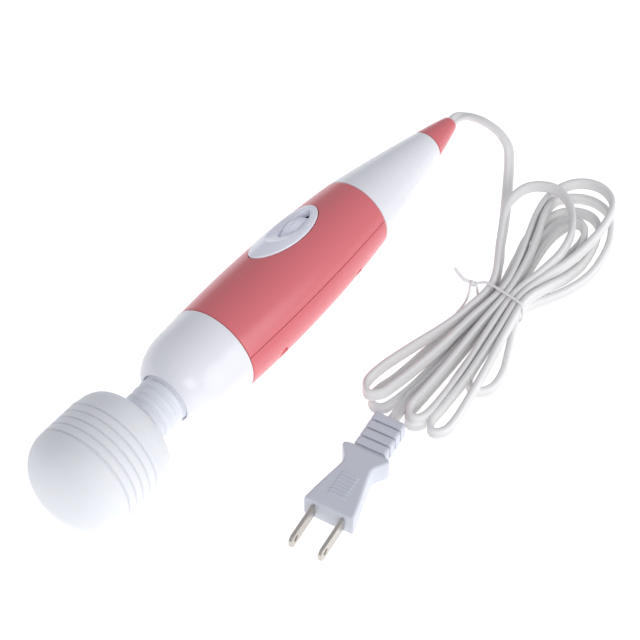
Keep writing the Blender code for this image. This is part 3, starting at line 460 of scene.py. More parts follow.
INNER_NODES = {
    "board_fuse": "ceramic",
    "bridge_rectifier": "carbon",
    "circuit_board": "board",
    "clamp_screw_1": "steel",
    "clamp_screw_2": "steel",
    "cord_clamp": "inner_white",
    "dial_axle": "steel",
    "drive_coupling_front": "steel",
    "drive_coupling_rear": "steel",
    "drive_spring": "steel",
    "eccentric_shaft": "steel",
    "eccentric_weight": "iron",
    "film_capacitor": "amber",
    "head_bearing_front": "steel",
    "head_bearing_rear": "steel",
    "head_cup": "inner_white",
    "head_rear_plate": "inner_white",
    "mains_lead_1": "grey_sleeve",
    "mains_lead_2": "black_sleeve",
    "motor_armature": "copper",
    "motor_brush_left": "carbon",
    "motor_brush_right": "carbon",
    "motor_can": "steel",
    "motor_commutator": "copper",
    "motor_end_cap": "inner_white",
    "motor_front_bush": "copper",
    "motor_lead_1": "red_sleeve",
    "motor_lead_2": "black_sleeve",
    "motor_magnet_left": "iron",
    "motor_magnet_right": "iron",
    "motor_mount_front": "rubber",
    "motor_mount_rear": "rubber",
    "motor_shaft": "steel",
    "neck_clamp_front": "steel",
    "neck_clamp_rear": "steel",
    "smoothing_capacitor": "blue_sleeve",
    "speed_potentiometer": "steel",
}


def dress_inner_nodes():
    for node, finish in INNER_NODES.items():
        color, roughness, metallic = INNER_FINISHES[finish]
        material = procedural("inner_" + finish, color, roughness, metallic, grain=0.08)
        slots = frame["nodes"][node].data.materials
        slots.clear()
        slots.append(material)


# Mesh helpers --------------------------------------------------------------------------------------


def add_piece(name, bm, material, body="handle", replaced=(), place=WAND, sharp=38):
    """Turns a bmesh, drawn in the frame of place, into a piece that rides on a body."""
    bmesh.ops.remove_doubles(bm, verts=bm.verts, dist=1e-7)
    bmesh.ops.recalc_face_normals(bm, faces=bm.faces)
    bmesh.ops.transform(bm, matrix=place, verts=bm.verts)
    mesh = bpy.data.meshes.new(name)
    bm.to_mesh(mesh)
    bm.free()
    mesh.shade_smooth()
    mesh.set_sharp_from_angle(angle=math.radians(sharp))
    made = bpy.data.objects.new(name, mesh)
    bpy.context.scene.collection.objects.link(made)
    mesh.materials.append(material)
    if body is not None:
        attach(made, body)
    if replaced:
        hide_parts(*replaced)
    return made


def turn_outline(bm, outline, segments=ROUND):
    """Adds the closed solid that a closed outline of (x, radius) points sweeps about the X axis."""
    angles = [math.tau * i / segments for i in range(segments)]
    rings = []
    for x, radius in outline:
        if radius < 1e-7:
            rings.append([bm.verts.new((x, 0.0, 0.0))])
        else:
            rings.append([bm.verts.new((x, radius * math.sin(a), radius * math.cos(a))) for a in angles])
    for near, far in zip(rings, rings[1:] + rings[:1]):
        if len(near) == 1 and len(far) == 1:
            continue
        for i in range(segments):
            after = (i + 1) % segments
            around = ((near, i), (near, after), (far, after), (far, i))
            bm.faces.new(list(dict.fromkeys(ring[at % len(ring)] for ring, at in around)))


def turned(name, outline, material, body="handle", replaced=(), segments=ROUND, sharp=38):
    bm = bmesh.new()
    turn_outline(bm, outline, segments)
    return add_piece(name, bm, material, body, replaced, sharp=sharp)


def bridge_rings(bm, rings, closed=True):
    """Quads between neighbouring rings of vertices."""
    count = len(rings[0])
    for near, far in zip(rings, rings[1:]):
        for i in range(count if closed else count - 1):
            after = (i + 1) % count
            bm.faces.new((near[i], near[after], far[after], far[i]))


def add_cylinder(bm, radius, depth, matrix, segments):
    """Adds a closed cylinder along the matrix's Z axis."""
    bmesh.ops.create_cone(
        bm, cap_ends=True, segments=segments, radius1=radius, radius2=radius, depth=depth, matrix=matrix
    )


def bake(made):
    """Puts a piece's modifiers into its mesh."""
    graph = bpy.context.evaluated_depsgraph_get()
    mesh = bpy.data.meshes.new_from_object(made.evaluated_get(graph))
    made.modifiers.clear()
    made.data = mesh
    return made


def add_modifier(made, kind, **settings):
    step = made.modifiers.new(kind.lower(), kind)
    for key, value in settings.items():
        setattr(step, key, value)
    return step


def cut_away(made, cutter):
    """Takes the cutter's solid out of the piece, and removes the cutter."""
    add_modifier(made, "BOOLEAN", operation="DIFFERENCE", object=cutter)
    bake(made)
    bpy.data.objects.remove(cutter, do_unlink=True)


def round_edges(made, width, angle=50):
    limit = math.radians(angle)
    add_modifier(made, "BEVEL", width=width, segments=2, limit_method="ANGLE", angle_limit=limit)
    bake(made)
    made.data.shade_smooth()
    made.data.set_sharp_from_angle(angle=math.radians(50))


def steps(low, high, count):
    return [low + (high - low) * i / count for i in range(count + 1)]


def spline(knots, spacing):
    """Points on the Catmull-Rom curve through knots (x, y, z and any more values), evenly spaced."""
    knots = [Vector(knot) for knot in knots]
    ends = [2 * knots[0] - knots[1]] + knots + [2 * knots[-1] - knots[-2]]
    fine = []
    for a, b, c, d in zip(ends, ends[1:], ends[2:], ends[3:]):
        quadratic = 2 * a - 5 * b + 4 * c - d
        cubic = 3 * b - 3 * c + d - a
        for i in range(SPLINE_STEPS):
            t = i / SPLINE_STEPS
            square, cube = t * t, t * t * t
            fine.append(0.5 * (2 * b + (c - a) * t + quadratic * square + cubic * cube))
    fine.append(knots[-1])
    walked = [0.0]
    for a, b in zip(fine, fine[1:]):
        walked.append(walked[-1] + (b - a).to_3d().length)
    count = max(2, round(walked[-1] / spacing))
    points, at = [], 0
    for i in range(count):
        target = walked[-1] * i / count
        while walked[at + 1] < target:
            at += 1
        share = (target - walked[at]) / (walked[at + 1] - walked[at])
        points.append(fine[at].lerp(fine[at + 1], share))
    return points + [fine[-1]]


def between(start, end, share):
    """The point a share of the way from one point to another."""
    return tuple(a + (b - a) * share for a, b in zip(start, end))


def smooth_step(value):
    value = min(1.0, max(0.0, value))
    return value * value * (3 - 2 * value)


# Wand ----------------------------------------------------------------------------------------------


def dome_point(t, inset=0.0):
    """A point of the head's super-ellipse dome, from its rim at t = 0 to its apex at t = 1."""
    angle = t * math.pi / 2
    x = DOME_BASE_X - (DOME_HEIGHT - inset) * math.sin(angle) ** (2 / DOME_POWER)
    return x, (HEAD_RADIUS - inset) * max(0.0, math.cos(angle)) ** (2 / DOME_POWER)


def ringed_radius(x):
    """Radius of the head's side: crowned rings between round-lipped grooves."""
    nearest = min(range(GROOVES), key=lambda i: abs(x - DOME_BASE_X - i * GROOVE_PITCH))
    away = x - DOME_BASE_X - nearest * GROOVE_PITCH
    groove = GROOVE_DEPTH * math.exp(-((away / GROOVE_WIDTH) ** 2))
    crown = RING_CROWN * min(1.0, abs(2 * away / GROOVE_PITCH)) ** 0.5 - RING_CROWN
    if x < DOME_BASE_X:
        crown *= math.exp(-((away / GROOVE_PITCH) ** 2) * 4)
    return HEAD_RADIUS - groove + crown


def make_head():
    """Soft cover: dome, ringed side, shoulder round the neck, and its inner side over the hard cup."""
    dome = [dome_point(1 - i / 48) for i in range(48)]
    dome[0] = (dome[0][0], 0.0)
    last = DOME_BASE_X + (GROOVES - 1) * GROOVE_PITCH
    front = [(x, min(r, ringed_radius(x) if x > DOME_BASE_X - 0.0012 else r)) for x, r in dome]
    side = [(x, ringed_radius(x)) for x in steps(DOME_BASE_X, last + 0.0009, 150)]
    knots = [(last + 0.0016, HEAD_RADIUS - 0.00005), *HEAD_SHOULDER]
    shoulder = [(x, radius) for x, radius, _ in spline([(*knot, 0) for knot in knots], 0.0005)]
    inner = [(HEAD_RIM_X, HEAD_RADIUS - COVER_WALL)] + [dome_point(i / 12, COVER_WALL) for i in range(13)]
    inner[-1] = (inner[-1][0], 0.0)
    outline = front + side + shoulder + HEAD_MOUTH + inner
    turned("head_silicone_cover", outline, silicone_white(), "head", ["head_cover"], sharp=60)


def neck_radius(x):
    share = (x - NECK_FRONT_X) / (NECK_REAR_X - NECK_FRONT_X)
    crest = NECK_FRONT_RADIUS + (NECK_REAR_RADIUS - NECK_FRONT_RADIUS) * share
    wave = abs(math.cos(math.pi * NECK_RIBS * share))
    return crest - NECK_RIB_DEPTH * wave ** 5


def make_neck():
    """Ribbed sleeve in two pieces, which meet between the neck's joints."""
    end_x = NECK_REAR_X + NECK_FLANGE_LENGTH
    flange = [(NECK_REAR_X, NECK_FLANGE_RADIUS), (end_x, NECK_FLANGE_RADIUS), (end_x, NECK_BORE)]
    made = {}
    for name, low, high, end in (
        ("neck_sleeve_front", NECK_FRONT_X, NECK_SPLIT_X, []),
        ("neck_sleeve_rear", NECK_SPLIT_X, NECK_REAR_X, flange),
    ):
        outer = [(x, neck_radius(x)) for x in steps(low, high, 72)]
        inner = [(x, NECK_BORE) for x in steps(high, low, 12)]
        outline = outer + end + inner
        made[name] = turned(name, outline, neck_white(), None, sharp=50, segments=96)
    for name, first, second, middle in (
        ("neck_sleeve_rear", "handle", "neck", "neck_pitch"),
        ("neck_sleeve_front", "neck", "head", "neck_yaw"),
    ):
        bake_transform(made[name])
    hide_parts("neck_bellows")


def bowl_point(angle, inset=0.0):
    return (
        BOWL_CENTRE_X - (BOWL_LENGTH - inset) * math.cos(angle),
        BOWL_CENTRE_RADIUS + (BOWL_HEIGHT - inset) * math.sin(angle),
    )


def handle_radius(x):
    return BARREL_RADIUS - BARREL_CURVE * (x - BARREL_WIDEST_X) ** 2


def tapered_radius(x, x_low, x_high, r_low, r_high, bulge):
    t = (x - x_low) / (x_high - x_low)
    return r_low + (r_high - r_low) * t + bulge * 4 * t * (1 - t)


def cone_radius(x):
    start_radius = handle_radius(CASING_END_X)
    return tapered_radius(x, CASING_END_X, CONE_END_X, start_radius, CONE_END_RADIUS, CONE_BULGE)


def tip_radius(x):
    return tapered_radius(x, CONE_END_X, TIP_END_X, CONE_END_RADIUS, TIP_END_RADIUS, TIP_BULGE)


def make_shroud():
    """White bowl round the neck, with a fine bead at its joint and a sleeve inside the casings."""
    quarter = math.pi / 2
    outer = [bowl_point(MOUTH_ANGLE + (quarter - MOUTH_ANGLE) * i / 40) for i in range(41)]
    lip_x, lip_r = outer[0]
    mouth = [
        (lip_x + 0.0006, lip_r - 0.0006),
        (lip_x + 0.0002, lip_r - 0.0005),
        (lip_x - 0.0001, lip_r - 0.0002),
    ]
    rim = handle_radius(0)
    bowl = BOWL_CENTRE_RADIUS + BOWL_HEIGHT
    widening = []
    for x in steps(-0.0110, -0.0012, 16):
        widening.append((x, bowl + (rim - bowl) * smooth_step((x - BOWL_CENTRE_X) / 0.0110)))
    bead = [
        (-0.0009, rim + SHROUD_BEAD), (-0.0004, rim + SHROUD_BEAD),
        (-0.0001, rim), (0.0, rim - 0.0003),
    ]
    sleeve = rim - CASING_WALL - GAP
    back = [
        (0.0, sleeve),
        (SLEEVE_LENGTH, sleeve),
        (SLEEVE_LENGTH, sleeve - SLEEVE_WALL),
        (-0.0030, sleeve - SLEEVE_WALL),
    ]
    inner = [bowl_point(MOUTH_ANGLE + (quarter - MOUTH_ANGLE) * i / 16, SHROUD_WALL) for i in range(17)]
    outline = mouth + outer + widening + bead + back + inner[::-1]
    turned("shroud_bowl", outline, gloss_white(), "handle", ["front_shroud"])


def leaf_point(turn, grow=0.0):
    """A point (x, angle about the wand) on the bezel's grown outline, which is blunter at the tail end."""
    x = BEZEL_X + (BEZEL_HALF_LENGTH + grow) * math.cos(turn)
    half_angle = BEZEL_HALF_ANGLE + grow / BARREL_RADIUS
    return x, half_angle * math.sin(turn) * (1 + BEZEL_TAPER * math.cos(turn))


def opening_point(turn, grow=0.0):
    """A point (x, angle) on the lens-shaped opening for the dial."""
    across = abs(math.sin(turn)) ** OPENING_POWER * math.copysign(1, math.sin(turn))
    x = OPENING_X + (OPENING_HALF_LENGTH + grow) * math.cos(turn)
    return x, (OPENING_HALF_WIDTH + grow) / BARREL_RADIUS * across


def on_barrel(x, angle, offset=0.0):
    radius = handle_radius(x) + offset
    return Vector((x, radius * math.sin(angle), radius * math.cos(angle)))


def make_upper_casing():
    """Upper half shell, its skin drawn as rings from the bezel's cut-out to the shell's own border."""
    edge_angle = math.pi / 2 - GAP / 2 / BARREL_RADIUS
    low, high = GAP, CASING_END_X - GAP
    border = [(x, edge_angle) for x in steps(high, low, 60)[:-1]]
    border += [(low, angle) for angle in steps(edge_angle, -edge_angle, 48)[:-1]]
    border += [(x, -edge_angle) for x in steps(low, high, 60)[:-1]]
    border += [(high, angle) for angle in steps(-edge_angle, edge_angle, 48)[:-1]]
    bm = bmesh.new()
    shares = [share ** 1.35 for share in steps(0.0, 1.0, 28)]
    columns = []
    for x, angle in border:
        turn = math.atan2(angle / BEZEL_HALF_ANGLE, (x - BEZEL_X) / BEZEL_HALF_LENGTH)
        columns.append([between(leaf_point(turn), (x, angle), share) for share in shares])
    rings = [[bm.verts.new(on_barrel(*point)) for point in points] for points in zip(*columns)]
    bridge_rings(bm, rings)
    casing = add_piece("upper_casing_shell", bm, salmon(), "handle", ["upper_casing"])
    outward_shell(casing)
    round_edges(casing, EDGE_ROUND)


def outward_shell(casing):
    """Gives a skin its wall, on the inner side, whichever way its faces point."""
    centre = WAND @ Vector((0.05, 0, 0))
    face = casing.data.polygons[0]
    outwards = face.normal.dot(casing.data.vertices[face.vertices[0]].co - centre) > 0
    add_modifier(casing, "SOLIDIFY", thickness=CASING_WALL, offset=-1.0 if outwards else 1.0)
    bake(casing)


def make_lower_casing():
    edge_angle = math.pi / 2 - GAP / 2 / BARREL_RADIUS
    bm = bmesh.new()
    rings = []
    for x in steps(GAP, CASING_END_X - GAP, 72):
        angles = steps(math.pi - edge_angle, math.pi + edge_angle, 80)
        rings.append([bm.verts.new(on_barrel(x, angle)) for angle in angles])
    bridge_rings(bm, rings, closed=False)
    casing = add_piece("lower_casing_shell", bm, salmon(), "handle", ["lower_casing"])
    outward_shell(casing)
    round_edges(casing, EDGE_ROUND)
    bm = bmesh.new()
    for x, y in SCREW_PLACES:
        place = Matrix.Translation((x, y, -0.0150))
        add_cylinder(bm, WELL_RADIUS + WELL_WALL + 0.0001, 0.0100, place, 32)
    cut_away(casing, add_piece("screw_well_cutter", bm, salmon(), None))
    casing.data.shade_smooth()
    casing.data.set_sharp_from_angle(angle=math.radians(50))


def well_ring(bm, x, y, radius, z):
    """A ring of a screw well, at height z or, where z is None, just inside the casing's skin."""
    ring = []
    for i in range(40):
        angle = math.tau * i / 40
        at_x, at_y = x + radius * math.cos(angle), y + radius * math.sin(angle)
        skin = -math.sqrt((handle_radius(at_x) - 0.0002) ** 2 - at_y * at_y)
        ring.append(bm.verts.new((at_x, at_y, skin if z is None else max(z, skin))))
    return ring


def make_screw_wells():
    """A moulded well round each casing screw."""
    bm = bmesh.new()
    outer = WELL_RADIUS + WELL_WALL
    floor_z = SCREW_HEAD_Z + 0.0019
    levels = [
        (WELL_RADIUS, None), (outer, None), (outer, floor_z + 0.0009),
        (0.0014, floor_z + 0.0009), (0.0014, floor_z), (WELL_RADIUS, floor_z),
    ]
    for x, y in SCREW_PLACES:
        rings = [well_ring(bm, x, y, radius, z) for radius, z in levels]
        bridge_rings(bm, rings + rings[:1])
    add_piece("casing_screw_wells", bm, salmon(), "handle")


def make_screws():
    """The casing screws: pan heads with a cross recess."""
    low, end = SCREW_HEAD_Z, SCREW_END_Z
    head = [
        (low, 0.0),
        (low, 0.0009),
        (low + 0.0002, 0.0015),
        (low + 0.0006, SCREW_HEAD_RADIUS),
        (low + SCREW_HEAD_HEIGHT, SCREW_HEAD_RADIUS),
        (low + SCREW_HEAD_HEIGHT, SCREW_RADIUS),
        (end, SCREW_RADIUS),
        (end + 0.0002, 0.0),
    ]
    depth, length, width = CROSS_SIZE
    for number, (x, y) in enumerate(SCREW_PLACES, 1):
        place = WAND @ Matrix.Translation((x, y, 0)) @ Matrix.Rotation(-math.pi / 2, 4, "Y")
        bm = bmesh.new()
        turn_outline(bm, head, 40)
        node = f"case_screw_{number}"
        screw = add_piece(f"cross_screw_{number}", bm, steel(), "handle", [node], place)
        bm = bmesh.new()
        for size in ((length, width), (width, length)):
            matrix = Matrix.Translation((low, 0, 0)) @ Matrix.Diagonal((depth, *size, 1.0))
            bmesh.ops.create_cube(bm, size=1.0, matrix=matrix)
        cross = add_piece("cross_cutter", bm, steel(), None, place=place)
        add_modifier(cross, "REMESH", mode="VOXEL", voxel_size=0.00015)
        bake(cross)
        cut_away(screw, cross)


def dish_depth(x, angle):
    away = ((x - DISH_X) / DISH_HALF_LENGTH) ** 2 + (angle / DISH_HALF_ANGLE) ** 2
    return DISH_DEPTH * max(0.0, 1 - away) ** DISH_POWER


def make_bezel():
    """Leaf-shaped bezel: rounded rim, dish and lens-shaped opening, closed underneath."""
    turns = [math.tau * i / 128 for i in range(128)]
    rings = []
    bm = bmesh.new()

    def add_ring(points, offset, dished=False):
        ring = []
        for x, angle in points:
            sunk = dish_depth(x, angle) if dished else 0.0
            ring.append(bm.verts.new(on_barrel(x, angle, offset - sunk)))
        rings.append(ring)

    for grow, offset in BEZEL_RIM:
        add_ring([leaf_point(turn, grow) for turn in turns], offset)
    for share in steps(0.0, 1.0, 26):
        points = []
        for turn in turns:
            outer, inner = leaf_point(turn, -BEZEL_RIM_WIDTH), opening_point(turn, 0.0002)
            points.append(between(outer, inner, share))
        add_ring(points, BEZEL_PROUD, dished=True)
    for grow, sunk in ((0.00006, 0.00005), (0.0, 0.0002), (0.0, 0.0008)):
        add_ring([opening_point(turn, grow) for turn in turns], BEZEL_PROUD - sunk, dished=True)
    add_ring([opening_point(turn) for turn in turns], -BEZEL_DEPTH)
    bridge_rings(bm, rings + rings[:1])
    add_piece("bezel_leaf", bm, bezel_white(), "handle", ["switch_bezel"])


def rib_height(angle, turn):
    """Height of the dial's ribs, which fade out on its flanks and leave one smooth place as its mark."""
    away = abs((angle - DIAL_MARK_ANGLE + math.pi) % math.tau - math.pi)
    ribbed = smooth_step((away - DIAL_MARK_HALF_ANGLE) / 0.03)
    ridge = (0.5 + 0.5 * math.cos(angle * DIAL_RIBS)) ** 0.7
    return DIAL_RIB_HEIGHT * (ridge - 1) * ribbed * max(0.0, math.cos(turn)) ** 0.4


def make_dial():
    """Crowned thumbwheel with ribs across its rim."""
    count = DIAL_RIBS * DIAL_POINTS_PER_RIB
    angles = [math.tau * i / count for i in range(count)]
    rise = DIAL_RADIUS - DIAL_FLANK_RADIUS
    bm = bmesh.new()
    rings = []

    def add_ring(y, radius_at):
        ring = []
        for angle in angles:
            radius = radius_at(angle)
            ring.append(bm.verts.new((radius * math.sin(angle), y, radius * math.cos(angle))))
        rings.append(ring)

    for turn in steps(-math.pi / 2, math.pi / 2, 28):
        crown = DIAL_FLANK_RADIUS + rise * math.cos(turn)
        add_ring(DIAL_HALF_THICKNESS * math.sin(turn), lambda angle: crown + rib_height(angle, turn))
    for side in (1, -1):
        add_ring(side * DIAL_HALF_THICKNESS, lambda angle: DIAL_BORE)
    bridge_rings(bm, rings + rings[:1])
    place = WAND @ Matrix.Translation((DIAL_X, 0, DIAL_Z))
    add_piece("dial_thumbwheel", bm, bezel_white(), "dial", ["speed_dial"], place, sharp=60)


def make_tail():
    """White cone, and the coloured tip whose bore holds the cord."""
    xs = steps(CASING_END_X, CONE_END_X - 0.0003, 24)
    sleeve = handle_radius(CASING_END_X) - CASING_WALL - GAP
    lip = [
        (CASING_END_X - 0.0001, cone_radius(CASING_END_X) - 0.0003),
        (CASING_END_X, cone_radius(CASING_END_X) - 0.00008),
    ]
    outer = [(x, cone_radius(x)) for x in xs[1:]]
    end = [(CONE_END_X, CONE_END_RADIUS - 0.0003), (CONE_END_X, SPIGOT_RADIUS + GAP)]
    inner = [(x, cone_radius(x) - TAIL_WALL) for x in xs[-2:0:-1]]
    front = [
        (CASING_END_X, sleeve - SPIGOT_WALL),
        (CONE_SLEEVE_X, sleeve - SPIGOT_WALL),
        (CONE_SLEEVE_X, sleeve - 0.0002),
        (CASING_END_X - 0.0001, sleeve - 0.0002),
    ]
    outline = lip + outer + end + inner + front
    turned("tail_cone_shell", outline, gloss_white(), "handle", ["tail_cone"])

    start = CONE_END_X + GAP
    lip = [(start, tip_radius(start) - 0.0003), (start + 0.0002, tip_radius(start) - 0.00005)]
    outer = [(x, tip_radius(x)) for x in steps(start + 0.0005, TIP_END_X - 0.0005, 16)]
    end = [
        (TIP_END_X - 0.0002, TIP_END_RADIUS - 0.0001),
        (TIP_END_X, TIP_END_RADIUS - 0.0004),
        (TIP_END_X, TIP_BORE + 0.0001),
        (TIP_END_X - 0.0002, TIP_BORE),
    ]
    bore = [(SPIGOT_START_X, TIP_BORE), (SPIGOT_START_X, SPIGOT_RADIUS), (start, SPIGOT_RADIUS)]
    outline = lip + outer + end + bore
    turned("tail_tip_cap", outline, salmon(), "handle", ["tail_tip"], segments=96)


# Cord, tie and plug --------------------------------------------------------------------------------


def cord_section():
    """Outline (width, thickness) of the flat cord: two round lobes with a groove between them."""
    radius = CORD_THICKNESS / 2
    offset = CORD_WIDTH / 2 - radius
    reach = math.acos(-offset / radius)
    points = []
    for side in (1, -1):
        for angle in steps(-reach, reach, 11)[1:-1]:
            points.append((side * (offset + radius * math.cos(angle)), side * radius * math.sin(angle)))
    return points


def sweep(bm, centres, rolls, section):
    """Adds a closed tube: the section carried along the centres, turned by each roll from lying flat."""
    rings = []
    for i, (centre, roll) in enumerate(zip(centres, rolls)):
        along = (centres[min(i + 1, len(centres) - 1)] - centres[max(i - 1, 0)]).normalized()
        side = along.cross(Vector((0, 0, 1))).normalized()
        upward = side.cross(along)
        wide = side * math.cos(math.radians(roll)) + upward * math.sin(math.radians(roll))
        thin = along.cross(wide)
        rings.append([bm.verts.new(centre + wide * u + thin * v) for u, v in section])
    bridge_rings(bm, rings)
    bm.faces.new(rings[0])
    bm.faces.new(rings[-1])


def waist_point(strand):
    """Where a strand passes the waist, counting columns from the wand's side."""
    layer, column = strand
    return WAIST_X, WAIST_Y - column * COLUMN_PITCH, WAIST_LOW_Z + LAYER_PITCH * layer


def cord_route():
    """Knots (x, y, z, roll) of the whole free cord."""
    knots = []
    last = len(LEAD_ROUTE) - 1
    for i, point in enumerate(LEAD_ROUTE):
        roll = TAIL_ROLL if i < 2 else LEAD_ROLL
        if i > last - 3:
            roll = LEAD_ROLL + (ON_EDGE - LEAD_ROLL) * (i - last + 3) / 4
        knots.append((*point, roll))
    for strand, turn in TURNS:
        knots.append((*waist_point(strand), ON_EDGE))
        knots += [(*point, ON_EDGE) for point in turn]
    for i, point in enumerate(TAIL_ROUTE):
        knots.append((*point, ON_EDGE * max(0.0, 1 - (i + 1) / 3)))
    return knots


def half_height(roll):
    turn = math.radians(roll)
    return abs(math.sin(turn)) * (CORD_WIDTH - CORD_THICKNESS) / 2 + CORD_THICKNESS / 2


def cord_centres():
    """Centre points and rolls of the free cord: the strands near the surface are lowered onto it."""
    sampled = spline(cord_route(), CORD_STEP)
    away = Vector((math.cos(VIEW_HEADING), math.sin(VIEW_HEADING), 0))
    centres, rolls = [], []
    for i, (x, y, z, roll) in enumerate(sampled):
        step = sampled[min(i + 1, len(sampled) - 1)] - sampled[max(i - 1, 0)]
        side = step.to_3d().normalized().cross(Vector((0, 0, 1)))
        roll -= LEAN * side.dot(away) * smooth_step((roll - 20) / 60)
        height = half_height(roll)
        lowered = (CORD_WIDTH / 2 - height) * smooth_step((0.0090 - z) / 0.0050)
        if y < -0.06 and z < 0.0062 and abs(roll) < 80:
            lowered *= 1 - smooth_step((0.0080 - x) / 0.0100)
        centres.append(Vector((x, y, max(height + 0.0001, z - lowered))))
        rolls.append(roll)
    return centres, rolls


def make_cord():
    """The free cord from the tip to the plug in one piece, and its end inside the tail."""
    centres, rolls = cord_centres()
    bm = bmesh.new()
    sweep(bm, centres, rolls, cord_section())
    world = Matrix.Identity(4)
    nodes = ["cord_lead", "cord_hank", "cord_tail"]
    cord = add_piece("mains_cord", bm, cord_white(), "handle", nodes, world, sharp=60)

    inside = [WAND @ Vector((x, 0, 0)) for x in steps(INLET_X, TIP_END_X + GAP, 24)]
    bm = bmesh.new()
    sweep(bm, inside, [TAIL_ROLL] * len(inside), cord_section())
    name = "mains_cord_in_tail"
    add_piece(name, bm, cord_white(), "handle", ["cord_inside"], world, sharp=60)


def make_tie():
    """Plastic-coated wire round the hank's waist: the band, and its two free ends from a twisted knot."""
    knot = Vector(TIE_KNOT)
    band = [knot + Vector((0.0004, -0.0004, 0.0009))] + [Vector(point) for point in TIE_BAND]
    band.append(knot - Vector((0.0004, 0.0004, 0.0011)))
    away = Vector((-0.35, 0.90, 0.15)).normalized()
    across = Vector((0, 0, 1)).cross(away).normalized()
    upward = away.cross(across)
    ends = []
    for half in (0, 1):
        twist = []
        for i in range(13):
            angle = math.tau * 1.5 * i / 12 + math.pi * half
            ring = across * math.cos(angle) + upward * math.sin(angle)
            twist.append(knot + away * 0.00022 * i + ring * TIE_RADIUS * 1.1)
        ends.append(twist)
    thick = ends[0] + [Vector(point) for point in TIE_THICK_END]
    thin = ends[1] + [Vector(point) for point in TIE_THIN_END]
    angles = [math.tau * i / 10 for i in range(10)]
    bm = bmesh.new()
    for route, radius in ((band, TIE_RADIUS), (thick, TIE_RADIUS * 1.35), (thin, TIE_RADIUS * 0.85)):
        centres = spline(route, 0.0003)
        section = [(radius * math.cos(angle), radius * math.sin(angle)) for angle in angles]
        sweep(bm, centres, [0.0] * len(centres), section)
    nodes, world = ["twist_tie"], Matrix.Identity(4)
    return add_piece("twist_tie_wire", bm, tie_white(), "handle", nodes, world, sharp=60)


def plug_sections():
    """Sections (x, half width, half height) along the plug, from its face to its last relief plate."""
    sections = [(0.0, 0.0103, 0.0050), (0.0001, 0.0106, 0.0053)]
    for x, half, _ in spline([(x, half, 0) for x, half in PLUG_SIDE], PLUG_STEP):
        if x > 0.0003:
            closing = smooth_step((x - SHOULDER_X) / 0.0032)
            sections.append((x, half, PLUG_HALF_HEIGHT - SHOULDER_DROP * closing))
    pitch = (RELIEF_END_X - RELIEF_START_X - RELIEF_PLATE_THICKNESS) / (RELIEF_PLATES - 1)
    half_y, half_z = RELIEF_PLATE_HALF
    for i in range(RELIEF_PLATES):
        low = RELIEF_START_X + 0.0006 + pitch * i
        high = low + RELIEF_PLATE_THICKNESS - 0.0006
        sections.append((low, *RELIEF_CORE_HALF))
        edges = [(low, 1.0), (low + RELIEF_EDGE / 3, 1 / 3), (low + RELIEF_EDGE, 0.0)]
        edges += [(high - RELIEF_EDGE, 0.0), (high - RELIEF_EDGE / 3, 1 / 3), (high, 1.0)]
        for x, share in edges:
            sections.append((x, half_y - RELIEF_EDGE * share, half_z - RELIEF_EDGE * share))
        if i < RELIEF_PLATES - 1:
            sections.append((high, *RELIEF_CORE_HALF))
    return sections


def rounded_section(half_y, half_z):
    """A rounded rectangle's outline (y, z), with the same number of points whatever its size."""
    flat_y, flat_z = half_y - PLUG_CORNER, half_z - PLUG_CORNER
    points = []
    for quarter, (side_y, side_z) in enumerate(((1, 1), (-1, 1), (-1, -1), (1, -1))):
        start = quarter * math.pi / 2
        for angle in steps(start, start + math.pi / 2, 6):
            y = side_y * flat_y + PLUG_CORNER * math.cos(angle)
            points.append((y, side_z * flat_z + PLUG_CORNER * math.sin(angle)))
        if quarter % 2 == 0:
            points += [(side_y * y, side_z * half_z) for y in steps(flat_y, -flat_y, 44)[1:-1]]
        else:
            points += [(side_y * half_y, side_z * z) for z in steps(flat_z, -flat_z, 6)[1:-1]]
    return points


def grip_rib(x, y):
    """Height of the fine grip ribs on the plug's top and bottom."""
    if not GRIP_FIRST_X - GRIP_PITCH / 2 < x < GRIP_FIRST_X + GRIP_PITCH * (GRIP_RIBS - 0.5):
        return 0.0
    wave = 0.5 + 0.5 * math.cos(math.tau * (x - GRIP_FIRST_X) / GRIP_PITCH)
    return GRIP_HEIGHT * smooth_step(1.6 * wave - 0.3) * smooth_step((GRIP_HALF_WIDTH - abs(y)) / 0.0004)


def make_plug():
    """Moulding of the plug and its strain relief, and the two contact blades."""
    bm = bmesh.new()
    rings = []
    for x, half_y, half_z in plug_sections():
        ring = []
        for y, z in rounded_section(half_y, half_z):
            rib = grip_rib(x, y) if abs(z) > half_z - 0.0001 else 0.0
            ring.append(bm.verts.new((x, y, z + math.copysign(rib, z))))
        rings.append(ring)
    bridge_rings(bm, rings)
    bm.faces.new(rings[0])
    bm.faces.new(rings[-1])
    nodes = ["plug_body"]
    pieces = [add_piece("plug_moulding", bm, plug_white(), "handle", nodes, PLUG, sharp=50)]
    for name, side in (("left", 1), ("right", -1)):
        pieces.append(make_blade("plug_contact_" + name, side, "plug_blade_" + name))
    return pieces


